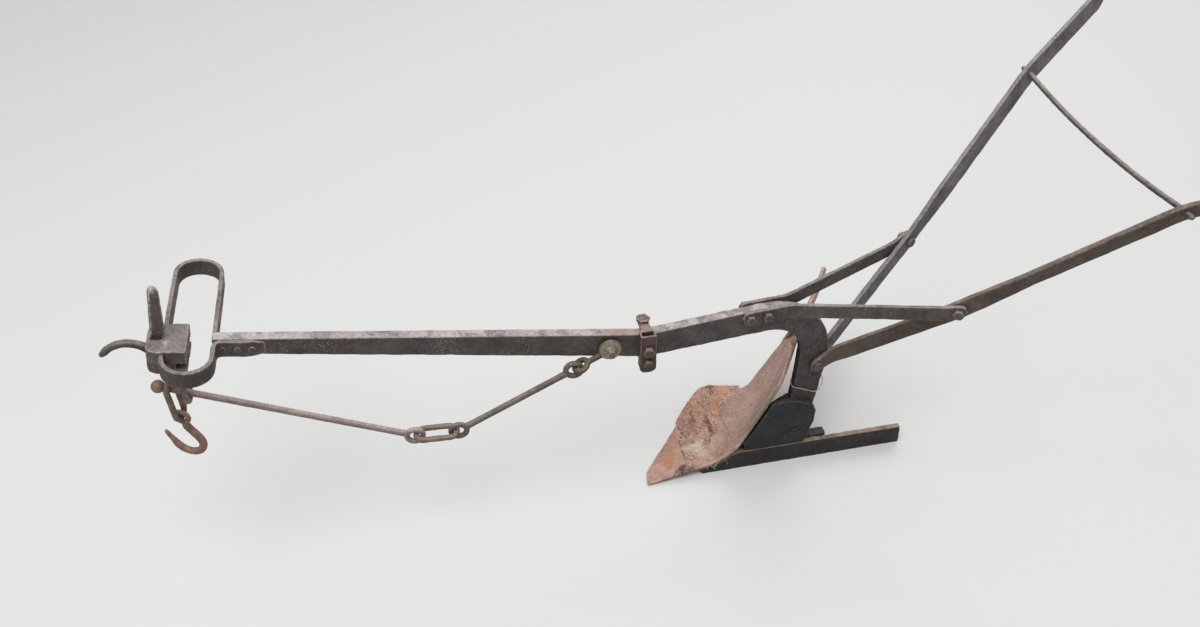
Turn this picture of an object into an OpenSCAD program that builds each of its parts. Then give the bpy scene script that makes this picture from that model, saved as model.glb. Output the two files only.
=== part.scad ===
// Moldboard plough of forged iron, drawn by a team: beam and standard in one bar, a ring hake with a
// sliding head, a jointed draught rod, share and moldboard on a frog, and two handles with wooden grips.
// Millimetres. -X is the way it travels, +Y the furrow side, +Z up. The origin lies on the sole, under
// the standard and in the middle of the landside bar.

/* [Beam and standard] */
// Thickness of the forged bar
bar_t = 21; // [16:1:26]
// Depth of the beam at the coulter clamp
beam_mid_d = 57; // [50:1:64]
// Depth of the beam at its front end
beam_front_d = 34; // [30:1:40]
// Distance from the standard to the front end of the beam
beam_reach = 1126; // [1080:5:1180]
// Height of the beam's front end
beam_front_z = 537; // [510:1:560]
// Distance from the standard to the bend at the coulter clamp
clamp_reach = 353; // [330:1:380]
// Height of the beam at the coulter clamp
clamp_z = 391; // [375:1:405]
// Outer radius of the arch that joins beam and standard
arch_r = 130; // [115:1:140]
// Height of the arch's centre
arch_z = 314; // [300:1:330]
// Width of the standard, seen from the side
standard_w = 60; // [50:1:66]

/* [Hake] */
// Width of the hake ring along the beam
ring_w = 88; // [80:1:100]
// Length of the hake ring across the beam
ring_l = 322; // [290:2:360]
// How far the ring reaches past the beam on the landside
ring_near = 98; // [90:1:110]
// Thickness of the ring's strap
strap_t = 8; // [6:0.5:10]
// Height of the ring's strap
strap_h = 34; // [28:1:40]
// Length of the sliding head along the ring
head_l = 76; // [64:1:84]
// Place of the head at rest, measured from the beam towards the furrow
head_rest = -12; // [-16:1:8]

/* [Draught rod] */
// Diameter of the draught rods
rod_d = 12.5; // [10:0.5:14]
// Diameter of the wire in eyes, links and the hook
wire_d = 11.5; // [9:0.5:12.5]
// Distance from the coulter clamp forward to the eye bolt
eye_bolt_ahead = 73; // [62:1:90]
// Height of the joint between the rear rod and the middle link
knee_z = 247; // [235:1:265]
// Distance from the standard to that joint
knee_reach = 729; // [715:1:745]
// Height of the bar on which the front rod lies
hang_z = 429; // [420:1:440]
// Diameter of the knob on the front rod's end
knob_d = 24; // [20:1:28]
// Inner length of the hanging link, less its width
link_len = 57; // [45:1:65]

/* [Body] */
// Thickness of the landside bar
landside_t = 12; // [9:1:16]
// Height of the landside bar
landside_h = 50; // [42:1:56]
// Distance from the standard back to the heel
heel_reach = 235; // [200:5:270]
// Thickness of the share and the moldboard
plate_t = 7; // [5:0.5:9]
// Width of the furrow slice that the share cuts
furrow_w = 248; // [230:2:270]
// Thickness of the frog's side plate
frog_plate_t = 11; // [8:0.5:12]

/* [Handles] */
// Depth of the handle bars
handle_d = 36; // [30:1:42]
// Thickness of the handle bars
handle_t = 10; // [8:0.5:12]
// Angle between each handle and the line of travel
handle_splay = 27; // [24:0.5:30]
// Height of the grips' ends
grip_z = 905; // [860:5:950]
// Diameter of the wooden grips
grip_d = 36; // [30:1:42]
// Diameter of the cross stretcher
stretcher_d = 10; // [8:0.5:13]
// Depth of the flat braces
brace_d = 32; // [28:1:36]
// Thickness of the flat braces
brace_t = 8; // [6:0.5:10]

/* [Coulter clamp] */
// Width of the clamp along the beam
clamp_w = 32; // [28:1:40]

/* [Hidden] */
$fn = 48;

// Gap between pieces that touch but can be taken apart
seat = 0.3;
// Play of a bolt in its hole, in diameter
hole_play = 0.6;
// Free play between linked eyes, at the shackle, and where the middle link hangs in the front rod
link_play = 0.4;
ring_play = 0.9;
knee_play = 1.6;
bolt_d = 14;
// The bar stands beside the landside bar, and its middle plane is the plough's
near_y = landside_t / 2 + seat;
mid_y = near_y + bar_t / 2;
far_y = near_y + bar_t;

function polar(r, a) = [r * cos(a), r * sin(a)];
function arc(c, r, a0, a1, n) = [for (i = [0:n]) c + polar(r, a0 + (a1 - a0) * i / n)];
function unit(v) = v / norm(v);
function lerp(a, b, t) = a + (b - a) * t;

// Extrudes an outline drawn in X and Z to both sides of the plane at y
module side_slab(y, t) {
    translate([0, y + t / 2, 0]) rotate([90, 0, 0]) linear_extrude(t) children();
}

// Everything that comes in pairs is drawn outwards from the middle plane, then placed on side s
module on_side(s) {
    translate([0, mid_y, 0]) mirror([0, s < 0 ? 1 : 0, 0]) children();
}

// Hole across the plough at a point of its side view
module cross_hole(p, d) {
    translate([p[0], mid_y, p[1]]) rotate([90, 0, 0]) cylinder(h = 900, d = d + hole_play, center = true);
}

// Bolt across the plough: its head and nut lie on the faces at y0 and y1
module cross_bolt(p, y0, y1, d) {
    head = 0.65 * d;
    translate([p[0], y1 + seat + head, p[1]]) rotate([90, 0, 0]) {
        cylinder(h = y1 - y0 + 2 * (head + seat), d = d);
        hex(1.75 * d, head);
        translate([0, 0, y1 - y0 + 2 * seat + head]) hex(1.75 * d, head);
    }
}

// Round bar between two points
module rod(a, b, d) {
    v = b - a;
    translate(a) rotate([0, acos(v[2] / norm(v)), atan2(v[1], v[0])]) cylinder(h = norm(v), d = d);
}

// Round bar bent in the plane z = 0, starting along X: each step is a straight length, then a bend given
// by its angle and radius. A straight stretch is a hair thinner than the bends and runs a little into them
run_in = 0.6;
hair = 0.3;
module bent_bar(d, steps, i = 0) {
    if (i < len(steps)) {
        length = steps[i][0];
        bend = steps[i][1];
        r = steps[i][2];
        side = bend < 0 ? -1 : 1;
        translate([-run_in, 0, 0]) rotate([0, 90, 0]) cylinder(h = length + 2 * run_in, d = d - hair, $fn = 24);
        translate([length, side * r, 0]) {
            if (bend != 0) rotate([0, 0, bend < 0 ? 90 + bend : -90])
                rotate_extrude(angle = abs(bend), $fn = max(48, r / 3)) translate([r, 0])
                    circle(d = d, $fn = 24);
            translate([r * sin(abs(bend)), -side * r * cos(bend), 0]) rotate([0, 0, bend])
                bent_bar(d, steps, i + 1);
        }
    }
}

// Upright flat bar between two points, with round ends of diameter d0 and d1 where these aren't zero
module leaf(a, b, t, d, d0 = 0, d1 = 0) {
    v = b - a;
    run = norm([v[0], v[1]]);
    translate(a) rotate([0, 0, atan2(v[1], v[0])]) side_slab(0, t) {
        polygon([[0, -d / 2], [run, v[2] - d / 2], [run, v[2] + d / 2], [0, d / 2]]);
        if (d0 > 0) circle(d = d0);
        if (d1 > 0) translate([run, v[2]]) circle(d = d1);
    }
}

// Fills the outside of a bend between two flat bars of thickness t and depth d
module bend_fill(p, t, d) {
    translate(p - [0, 0, d / 2 - hair]) cylinder(h = d - 2 * hair, d = t - hair);
}

// Ring of round wire; its axis is Z
module wire_ring(r, d) {
    rotate_extrude() translate([r, 0]) circle(d = d, $fn = 24);
}

// Hexagon head or nut with its axis along Z
module hex(across, h) {
    cylinder(h = h, d = across / cos(30), $fn = 6);
}

// Beam and standard

nose_up = atan2(beam_front_z - clamp_z, beam_reach - clamp_reach);
arch_c = [standard_w / 2 - arch_r, arch_z];
beam_up = [sin(nose_up), cos(nose_up)];
front = [-beam_reach, beam_front_z];
clamp_at = [-clamp_reach, clamp_z];
rear_slope = atan2(arch_z + arch_r - clamp_z - beam_mid_d / 2, clamp_reach + arch_c[0]);
standard_foot_z = landside_h + 6;

function beam_z(x) = lerp(beam_front_z, clamp_z, (x + beam_reach) / (beam_reach - clamp_reach));

eye_bolt_at = [-clamp_reach - eye_bolt_ahead, beam_z(-clamp_reach - eye_bolt_ahead)];
brace_bolts_at = [[arch_c[0] - 48, arch_z + 114], [arch_c[0] - 14, arch_z + 116]];
foot_at = [standard_w / 6, arch_z - 39];
frog_bolts_at = [[-6, 164], [-20, 88]];

module beam_outline() {
    inner_r = arch_r - standard_w;
    polygon(concat(
        [front + beam_up * beam_front_d / 2, clamp_at + [0, beam_mid_d / 2]],
        arc(arch_c, arch_r, 90 + rear_slope, 0, 16),
        [[standard_w / 2, 270], [standard_w / 2 - 8, 190], [standard_w / 2 - 24, standard_foot_z]],
        [[-standard_w / 2 - 16, standard_foot_z], [-standard_w / 2 - 4, 190], [-standard_w / 2, 270]],
        arc(arch_c, inner_r, 0, 90 + rear_slope, 12),
        [clamp_at - [0, beam_mid_d / 2], front - beam_up * beam_front_d / 2]));
}

module beam() {
    color([0.27, 0.25, 0.24]) difference() {
        side_slab(mid_y, bar_t) beam_outline();
        for (p = concat([eye_bolt_at, foot_at], brace_bolts_at, frog_bolts_at)) cross_hole(p, bolt_d);
    }
}

// Hake: a ring of flat strap, with a head that slides along its front side

module at_front() {
    translate([front[0], mid_y, front[1]]) rotate([0, nose_up, 0]) children();
}

ring_x0 = strap_t - ring_w;
ring_y0 = -ring_near;
ring_y1 = ring_l - ring_near;

module oval(inset) {
    r = ring_w / 2 - inset;
    translate([ring_x0 + ring_w / 2, 0]) {
        translate([0, ring_y0 + ring_w / 2]) circle(r = r);
        translate([0, ring_y1 - ring_w / 2]) circle(r = r);
        translate([-r, ring_y0 + ring_w / 2]) square([2 * r, ring_l - ring_w]);
    }
}

module hake_ring() {
    lap = 88;
    color([0.33, 0.3, 0.27]) at_front() translate([0, 0, -strap_h / 2]) linear_extrude(strap_h) {
        difference() {
            oval(0);
            oval(strap_t);
            translate([-1, -bar_t / 2]) square([strap_t + 2, bar_t]);
        }
        translate([0, -bar_t / 2 - strap_t]) square([lap, strap_t]);
    }
}

// Sliding head, in the ring's own axes with its middle at y = 0

head_fit = 0.5;
plate_over = 5;
plate_under = 9;
front_wall = 7;
wedge_w = 15;
cheek = 34;
head_x0 = ring_x0 - wedge_w - front_wall - head_fit;
head_x1 = ring_x0 + strap_t + head_fit + cheek;

module at_head() {
    at_front() translate([0, head_rest, 0]) children();
}

module head() {
    h = strap_h / 2 + head_fit;
    color([0.3, 0.28, 0.26]) difference() {
        at_head() difference() {
            translate([head_x0, -head_l / 2, -h - plate_under])
                cube([head_x1 - head_x0, head_l, 2 * h + plate_over + plate_under]);
            translate([ring_x0 - head_fit, -head_l, -h]) cube([strap_t + 2 * head_fit, 2 * head_l, 2 * h]);
            translate([ring_x0 - wedge_w - head_fit, -wedge_t / 2 - seat, -60])
                cube([wedge_w + seat, wedge_t + 2 * seat, 120]);
            translate([head_x1 - cheek / 2, -head_l / 2 - 1, -h]) cube([cheek, head_l + 2, h - 4]);
        }
        for (s = [-1, 1]) translate([hang_at[0], staple_y + s * staple_half, hang_at[1]])
            cylinder(h = staple_top - hang_at[1] + 1, d = wire_d + hole_play);
    }
}

wedge_t = 9;

module head_wedge() {
    color([0.36, 0.33, 0.3]) at_head() side_slab(0, wedge_t) polygon([
        [ring_x0 - wedge_w - head_fit + seat, -32],
        [ring_x0 - head_fit - seat, -32],
        [ring_x0 - head_fit - seat, 30],
        [ring_x0 + 5, 118],
        [ring_x0 - 1, 132],
        [ring_x0 - 10, 130],
        [ring_x0 - wedge_w - head_fit + seat, 34]]);
}

horn_r = 45.5;
horn_d = 14;

module horn_hook() {
    centre = [head_x0 - 31, -36];
    color([0.33, 0.29, 0.26]) at_head() difference() {
        translate([centre[0], 0, centre[1]]) rotate([90, 0, 0]) {
            rotate([0, 0, 30]) rotate_extrude(angle = 114) translate([horn_r, 0]) circle(d = horn_d, $fn = 24);
            rotate([0, 0, 144]) translate([horn_r, -run_in, 0]) rotate([-90, 0, 0])
                cylinder(h = 13, d1 = horn_d - hair, d2 = 6);
        }
        translate([head_x0 - seat, -20, -60]) cube([60, 40, 80]);
    }
}

// Draught rod: its eyes lie in the plane at rod_y, every link across it. The front rod lies on the staple's
// bar, and the hanging link hangs over it between the staple and the knob

eye_r = 15.5;
rod_y = near_y - 11;
hang_at = [-beam_reach - 65, hang_z];
link_step = wire_d + link_play;
shackle_len = 78;
knee_at = [-knee_reach, knee_z];
shackle_run = unit(knee_at - eye_bolt_at);
// The rods hang from the shackle's ring, and their plane turns towards the head
ring_step = wire_d + ring_play;
ring_at = eye_bolt_at + shackle_run * (shackle_len - ring_step / 2);
staple_y = mid_y + head_rest;
staple_half = 15;
rods_turn = atan2(staple_y - rod_y, ring_at[0] - hang_at[0]);
front_knee_at = [-knee_reach - 85, knee_z + 4];
bar_at = [ring_at[0] - norm([ring_at[0] - hang_at[0], staple_y - rod_y]), hang_z];
bar_span = norm(bar_at - front_knee_at);
rod_on_bar = wire_d / 2 + rod_d / 2 + seat;
rod_rise = atan2(bar_at[1] - front_knee_at[1], front_knee_at[0] - bar_at[0]) + asin(rod_on_bar / bar_span);
rod_run = [-cos(rod_rise), sin(rod_rise)];
// Along the rod from its rear eye: over the bar, at the hanging link, and at the knob
over_bar = sqrt(bar_span * bar_span - rod_on_bar * rod_on_bar);
at_link_run = over_bar + 34;
knob_run = at_link_run + 21.5;

module at_rods() {
    translate([ring_at[0], rod_y, 0]) rotate([0, 0, -rods_turn]) translate([-ring_at[0], 0, 0]) children();
}

// Turns children drawn along X so that X follows the direction v in the plane y = 0
module along(p, v) {
    translate([p[0], 0, p[1]]) rotate([0, -atan2(v[1], v[0]), 0]) children();
}

module eyed_rod(p, q, d) {
    v = q - p;
    along(p, v) {
        translate([eye_r, 0, 0]) rotate([0, 90, 0]) cylinder(h = norm(v) - 2 * eye_r, d = d);
        for (x = [0, norm(v)]) translate([x, 0, 0]) rotate([90, 0, 0]) wire_ring(eye_r, wire_d);
    }
}

// Oval link in the plane z = 0, bows centred on two points along X
module oval_link(length, r, d) {
    for (s = [0, 1]) translate([s * length, 0, 0]) rotate([0, 0, s ? -90 : 90])
        rotate_extrude(angle = 180) translate([r, 0]) circle(d = d, $fn = 24);
    for (s = [-1, 1]) translate([0, s * r, 0]) rotate([0, 90, 0]) cylinder(h = length, d = d, $fn = 24);
}

module rear_rod() {
    rear_eye_at = ring_at + shackle_run * (eye_r - ring_step / 2);
    color([0.36, 0.31, 0.27]) at_rods() eyed_rod(rear_eye_at, knee_at, rod_d);
}

module front_rod() {
    color([0.38, 0.33, 0.29]) at_rods() along(front_knee_at, rod_run) {
        translate([eye_r, 0, 0]) rotate([0, 90, 0]) cylinder(h = knob_run - eye_r, d = rod_d);
        rotate([90, 0, 0]) wire_ring(eye_r, wire_d);
        translate([knob_run, 0, 0]) sphere(d = knob_d);
    }
}

module middle_link() {
    v = front_knee_at - knee_at;
    inset = 2 * eye_r - link_step;
    front_inset = 2 * eye_r - wire_d - knee_play;
    color([0.4, 0.3, 0.23]) at_rods() along(knee_at, v) translate([inset, 0, 0])
        oval_link(norm(v) - inset - front_inset, eye_r, wire_d);
}

disc_t = 10;

module shackle() {
    ring_r = 13.5;
    disc_r = 22;
    color([0.38, 0.3, 0.24]) translate([0, rod_y, 0]) along(eye_bolt_at, shackle_run) {
        difference() {
            union() {
                rotate([90, 0, 0]) cylinder(h = disc_t, r = disc_r, center = true);
                translate([disc_r - 4, 0, 0]) rotate([0, 90, 0])
                    cylinder(h = shackle_len - 2 * ring_r - disc_r + 4, d = wire_d);
            }
            rotate([90, 0, 0]) cylinder(h = disc_t + 2, d = bolt_d + hole_play, center = true);
        }
        translate([shackle_len - ring_r, 0, 0]) wire_ring(ring_r, wire_d);
    }
}

module eye_bolt() {
    outer = rod_y - disc_t / 2;
    inner = rod_y + disc_t / 2;
    washer_t = 4;
    color([0.4, 0.33, 0.27]) {
        cross_bolt(eye_bolt_at, outer - washer_t, far_y, bolt_d);
        translate([eye_bolt_at[0], outer - seat, eye_bolt_at[1]]) rotate([90, 0, 0])
            cylinder(h = washer_t, d = 34);
        translate([eye_bolt_at[0], near_y - seat, eye_bolt_at[1]]) rotate([90, 0, 0])
            cylinder(h = near_y - inner - 2 * seat, d = 30);
    }
}

// Staple under the head: the front rod passes through it and lies on its bar
staple_top = beam_z(hang_at[0]) - strap_h / 2 - 3;

module head_staple() {
    bend_r = 10;
    leg = staple_top - hang_at[1] - bend_r;
    color([0.4, 0.31, 0.25]) translate([hang_at[0], staple_y - staple_half, staple_top]) rotate([0, 90, 0])
        bent_bar(wire_d, [[leg, 90, bend_r], [2 * (staple_half - bend_r), 90, bend_r], [leg, 0, 0]]);
}

link_r = 14;
// The link hangs upright over the sloping rod, turned a little across it
link_turn = 22;
// The round of its bow comes down to the rod beside the top
bow_play = 1.2;
link_slant = cos(rod_rise) * sin(link_turn);
link_rise = (wire_d / 2 + rod_d / 2 + bow_play) * sqrt(1 - link_slant * link_slant)
    / cos(rod_rise) / cos(link_turn);

module at_link() {
    p = front_knee_at + rod_run * at_link_run;
    at_rods() translate([p[0], 0, p[1]]) rotate([0, 0, -link_turn]) children();
}

module hanging_link() {
    color([0.42, 0.29, 0.21]) at_link() translate([0, 0, link_rise - link_r])
        rotate([0, 90, 0]) oval_link(link_len, link_r, wire_d);
}

hook_d = 14;
hook_r = 29;
hook_eye_r = 12;
hook_eye_d = 10;
// The hook leans back until its weight hangs below the link
hang_lean = 9.4;

module draught_hook() {
    step = wire_d / 2 + hook_eye_d / 2 + link_play;
    color([0.43, 0.3, 0.22]) at_link() translate([0, 0, link_rise - 2 * link_r - link_len])
        rotate([0, -hang_lean, 0]) translate([0, 0, step - hook_eye_r]) {
            rotate([90, 0, 0]) wire_ring(hook_eye_r, hook_eye_d);
            translate([0, 0, -hook_eye_r]) rotate([90, 90, 0]) hook_bar();
        }
}

// Neck, bow and open tip of the hook, drawn along X
module hook_bar() {
    neck = 8;
    set = 25;
    shank = 22;
    bow = 190;
    tip = 34;
    bend_r = 20;
    bent_bar(hook_d, [[neck, set, bend_r], [shank, -bow, hook_r]]);
    at = [neck + bend_r * sin(set) + shank * cos(set), bend_r * (1 - cos(set)) + shank * sin(set)];
    centre = at + hook_r * [sin(set), -cos(set)];
    translate([centre[0], centre[1], 0]) rotate([0, 0, set - bow]) translate([0, hook_r, 0])
        translate([-run_in, 0, 0]) rotate([0, 90, 0]) cylinder(h = tip, d1 = hook_d - hair, d2 = 0.5 * hook_d);
}

// Coulter clamp, empty

clamp_top = clamp_z + beam_mid_d / 2 + clamp_w / 2 * tan(nose_up) + seat;
clamp_low = clamp_z - beam_mid_d / 2 - seat;
clamp_plate = 9;
block_t = 20;
block_wall = 5;
block_low = clamp_z - 52;
slot_w = 22;
slot_t = 11;
screw_d = 11;
screws_at = [[-clamp_reach, clamp_z + 4], [-clamp_reach, clamp_z - 28]];
clamp_bolt_y = far_y + 13;

module coulter_clamp() {
    x0 = -clamp_reach - clamp_w / 2;
    y0 = near_y - block_t;
    color([0.38, 0.29, 0.23]) difference() {
        union() {
            for (z = [clamp_top, clamp_low - clamp_plate])
                translate([x0, y0, z]) cube([clamp_w, clamp_bolt_y + 13 - y0, clamp_plate]);
            translate([x0, y0, block_low])
                cube([clamp_w, block_t - seat, clamp_top - block_low + clamp_plate / 2]);
        }
        translate([-clamp_reach - slot_w / 2, y0 + block_wall, block_low - 20]) cube([slot_w, slot_t, 200]);
        translate([-clamp_reach, clamp_bolt_y, block_low]) cylinder(h = 200, d = bolt_d + hole_play);
        for (p = screws_at) translate([p[0], y0 + block_wall + 1, p[1]]) rotate([90, 0, 0])
            cylinder(h = block_wall + 2, d = screw_d + hole_play);
    }
}

module clamp_bolts() {
    top = clamp_top + clamp_plate + seat;
    low = clamp_low - clamp_plate - seat;
    color([0.4, 0.3, 0.24]) {
        translate([-clamp_reach, clamp_bolt_y, low - 14]) cylinder(h = top + 14 - low + 14, d = bolt_d);
        translate([-clamp_reach, clamp_bolt_y, top]) hex(24, 10);
        translate([-clamp_reach, clamp_bolt_y, low - 10]) hex(24, 10);
        for (p = screws_at) translate([p[0], near_y - block_t + block_wall, p[1]]) rotate([90, 0, 0]) {
            cylinder(h = block_wall + 8, d = screw_d);
            translate([0, 0, block_wall + seat]) hex(20, 9);
        }
    }
}

// Share and moldboard: one hollow sheet swept over stations from the point to the tail

// Columns: x and z on the land side, then x, y and z on the furrow side, and the hollow of the row
face_rows = [
    [-350, 5, -350, 10, 5, 0],
    [-252, 20, -262, furrow_w * 0.46, 3, 3],
    [-190, 36, -190, furrow_w * 0.86, 3, 6],
    [-154, 66, -141, furrow_w, 4, 12],
    [-125, 125, -58, furrow_w - 18, 10, 18],
    [-98, 186, -12, furrow_w + 1, 42, 22],
    [-75, 240, 26, furrow_w + 12, 88, 20],
    [-66, 293, 62, furrow_w + 26, 124, 14],
    [-62, 345, 96, furrow_w + 40, 162, 6]];
// The last row lies across the tail: top corner, then lower corner
tail_top = [104, furrow_w - 4, 329];
tail_low = [148, furrow_w + 76, 260];

land_y = -landside_t / 2;
// The top edge first drops to clear the beam, then crosses to the tail. Columns: its point, how far the row's
// other end has come towards the tail, and the hollow of the row
top_rows = [
    [[-60, 40, 317], 0.12, 6],
    [[26, furrow_w / 2 - 5, 342], 0.5, 10],
    [tail_top, 1, 6]];
row_n = len(face_rows);
last_row = row_n + len(top_rows) - 1;
// The land side turns from the shin into the top edge at this row
corner = row_n - 1;
corner_far = [face_rows[corner][2], face_rows[corner][3] + land_y, face_rows[corner][4]];
function row_near(i) = i < row_n ? [face_rows[i][0], land_y, face_rows[i][1]] : top_rows[i - row_n][0];
function row_far(i) = i < row_n ? [face_rows[i][2], face_rows[i][3] + land_y, face_rows[i][4]]
    : lerp(corner_far, tail_low, top_rows[i - row_n][1]);
function row_sag(i) = i < row_n ? face_rows[i][5] : top_rows[i - row_n][2];
function pick(kind, i) = kind == 0 ? row_near(i) : kind == 1 ? row_far(i) : row_sag(i);

// Smooth curve through four stations
function blend(a, b, c, d, t) = 0.5 * (2 * b + (c - a) * t + (2 * a - 5 * b + 4 * c - d) * t * t
    + (3 * b - a - 3 * c + d) * t * t * t);
function station(kind, t) = let (i = min(floor(t), last_row - 1),
    lo = kind == 0 && i >= corner ? corner : 0, hi = kind == 0 && i < corner ? corner : last_row)
    blend(pick(kind, max(i - 1, lo)), pick(kind, i), pick(kind, i + 1), pick(kind, min(i + 2, hi)), t - i);

// Point of the working face: t counts the stations, s runs from the land side to the furrow side
function face(t, s) = lerp(station(0, t), station(1, t), s)
    + [0.55, 0, -0.83] * (4 * s * (1 - s) * station(2, t));
function face_normal(t, s) = let (e = 0.02, ta = max(t - e, 0), tb = min(t + e, last_row),
    sa = max(s - e, 0), sb = min(s + e, 1)) unit(cross(face(tb, s) - face(ta, s), face(t, sb) - face(t, sa)));
// Point of the back, held to the plane of the landside and to the ground
function back(t, s, gap = 0) = let (p = face(t, s) - face_normal(t, s) * (plate_t + gap))
    [p[0], max(p[1], land_y), max(p[2], 0)];
// Point of the back in a plane of constant y
function back_at(t, y) = let (a = station(0, t)[1], b = station(1, t)[1], s = (y - a) / (b - a))
    back(t, max(s + face_normal(t, s)[1] * plate_t / (b - a), 0));

// Closed sheet between two stations, thickened away from the working face
module sheet(t0, t1, nt, ns) {
    outer = [for (i = [0:nt], j = [0:ns]) face(lerp(t0, t1, i / nt), j / ns)];
    inner = [for (i = [0:nt], j = [0:ns]) back(lerp(t0, t1, i / nt), j / ns)];
    n = (nt + 1) * (ns + 1);
    function k(i, j) = i * (ns + 1) + j;
    // Two triangles of a four-sided patch, corners in clockwise order from outside
    function patch(a, b, c, d) = [[a, b, c], [a, c, d]];
    polyhedron(concat(outer, inner), concat(
        [for (i = [0:nt - 1], j = [0:ns - 1]) each patch(k(i, j), k(i, j + 1), k(i + 1, j + 1), k(i + 1, j))],
        [for (i = [0:nt - 1], j = [0:ns - 1])
            each patch(n + k(i, j), n + k(i + 1, j), n + k(i + 1, j + 1), n + k(i, j + 1))],
        [for (i = [0:nt - 1]) each patch(k(i, 0), k(i + 1, 0), n + k(i + 1, 0), n + k(i, 0))],
        [for (i = [0:nt - 1]) each patch(k(i, ns), n + k(i, ns), n + k(i + 1, ns), k(i + 1, ns))],
        [for (j = [0:ns - 1]) each patch(k(0, j), n + k(0, j), n + k(0, j + 1), k(0, j + 1))],
        [for (j = [0:ns - 1]) each patch(k(nt, j), k(nt, j + 1), n + k(nt, j + 1), n + k(nt, j))]));
}

share_end = 3;

module share() {
    color([0.5, 0.38, 0.3]) sheet(0.06, share_end, 12, 10);
}

module moldboard() {
    color([0.5, 0.42, 0.37]) sheet(share_end, last_row, 24, 10);
}

// Side view of the sheet's back in a plane of constant y, moved back by the seat
function back_line(t0, t1, y) = [for (i = [0:8]) let (p = back_at(lerp(t0, t1, i / 8), y))
    [p[0] + 3 * seat, p[2] - seat]];

frog_top = 180;
plate_y0 = near_y - seat - frog_plate_t;

module frog_plate() {
    edge = [for (p = back_line(2.6, 5.6, near_y)) if (p[1] > landside_h + 8 && p[1] < frog_top + 22) p];
    color([0.16, 0.16, 0.17]) difference() {
        side_slab((plate_y0 + near_y - seat) / 2, near_y - seat - plate_y0) polygon(concat(edge, [
            [-40, frog_top + 4], [11, 168], [21, 146], [21, 112], [10, 70], [5, landside_h + seat],
            [edge[0][0] + 6, landside_h + seat]]));
        for (p = frog_bolts_at) cross_hole(p, bolt_d);
    }
}

module landside_bar() {
    edge = [for (p = back_line(1.3, 3, landside_t / 2)) if (p[1] > 3 && p[1] < landside_h - 1) p];
    color([0.2, 0.2, 0.2]) side_slab(0, landside_t) polygon(concat(edge, [
        [edge[len(edge) - 1][0] + 8, landside_h], [2, landside_h], [heel_reach - 3, landside_h - 2],
        [heel_reach, 0], [edge[0][0] + 6, 0]]));
}

module frog() {
    edge = [for (p = back_line(1.6, 5.6, far_y)) if (p[1] > 4 && p[1] < frog_top - 2) p];
    color([0.2, 0.19, 0.19]) side_slab(mid_y, bar_t) polygon(concat(edge, [
        [-standard_w / 2 - 5 - seat, frog_top], [-standard_w / 2 - 16 - seat, standard_foot_z - seat],
        [60, standard_foot_z - seat], [60, 2], [edge[0][0] + 6, 2]]));
}

// Stay from the standard to the back of the moldboard
module moldboard_stay() {
    foot_z = 215;
    t = corner + 1.5;
    s = 0.5;
    p = back(t, s, 1.8);
    n = face_normal(t, s);
    color([0.25, 0.23, 0.22]) {
        translate([0, far_y + seat, foot_z]) rotate([-90, 0, 0]) cylinder(h = 10, d = 34);
        rod([0, far_y + 6, foot_z], p - 5 * n, 14);
        rod(p - 7 * n, p, 32);
    }
}

// Handles: each bar lies in an upright plane that leans out from the beam

// Splay starts here; across, the bar lies against the standard
handle_start = [standard_w / 2 + 8, arch_z - 17];
handle_off = bar_t / 2 + seat + handle_t / 2;
brace_joint = [214, 463];
stretcher_joint = [517, 741];
grip_len = 130;
grip_tilt = 25;
handle_end = [stretcher_joint[0] + 210, grip_z - grip_len * sin(grip_tilt)];
// Centre line of a handle in its own upright plane
handle_line = [[0, handle_start[1]], brace_joint, stretcher_joint, handle_end];
handle_slope = atan2(brace_joint[1] - handle_start[1], brace_joint[0]);

module at_handle() {
    translate([handle_start[0], handle_off, 0]) rotate([0, 0, handle_splay]) children();
}
// Point beside the middle plane for a place in the handle's plane: along, height, and outwards
function handle_point(r, z, out) = [handle_start[0] + r * cos(handle_splay) - out * sin(handle_splay),
    handle_off + r * sin(handle_splay) + out * cos(handle_splay), z];

// Outline of a flat bar along a line of points
function side_of(p, i, d) = let (n = len(p), u = unit(p[min(i + 1, n - 1)] - p[max(i - 1, 0)]))
    p[i] + d * [-u[1], u[0]];
module bar_along(p, d) {
    n = len(p);
    polygon(concat([for (i = [0:n - 1]) side_of(p, i, d / 2)], [for (i = [n - 1:-1:0]) side_of(p, i, -d / 2)]));
}

module handle(s) {
    upright = handle_d / cos(handle_slope);
    foot = [foot_at[0], handle_start[1] - (handle_start[0] - foot_at[0]) * tan(handle_slope)];
    bend = [handle_start[0], handle_off, handle_start[1]];
    color([0.3, 0.29, 0.3]) on_side(s) difference() {
        union() {
            at_handle() {
                side_slab(0, handle_t) intersection() {
                    bar_along(concat([[-60, handle_line[0][1] - 60 * tan(handle_slope)]], handle_line),
                        handle_d);
                    square([1200, 1200]);
                }
                along(handle_end, [cos(grip_tilt), sin(grip_tilt)]) translate([-6, 0, 0])
                    rotate([0, 90, 0]) cylinder(h = grip_len - 30, d = tang_d);
            }
            bend_fill(bend, handle_t, upright);
            leaf([foot[0], handle_off, foot[1]], bend, handle_t, upright, handle_d);
        }
        translate([foot_at[0], 0, foot_at[1]]) rotate([90, 0, 0])
            cylinder(h = 4 * handle_off, d = bolt_d + hole_play, center = true);
        at_handle() translate([brace_joint[0], 0, brace_joint[1]]) rotate([90, 0, 0])
            cylinder(h = 40, d = joint_bolt_d + hole_play, center = true);
        translate([stretcher_x, 0, stretcher_joint[1]]) rotate([90, 0, 0])
            cylinder(h = 900, d = stretcher_d + hole_play, center = true);
    }
}

tang_d = 14;
joint_bolt_d = 11;

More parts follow.
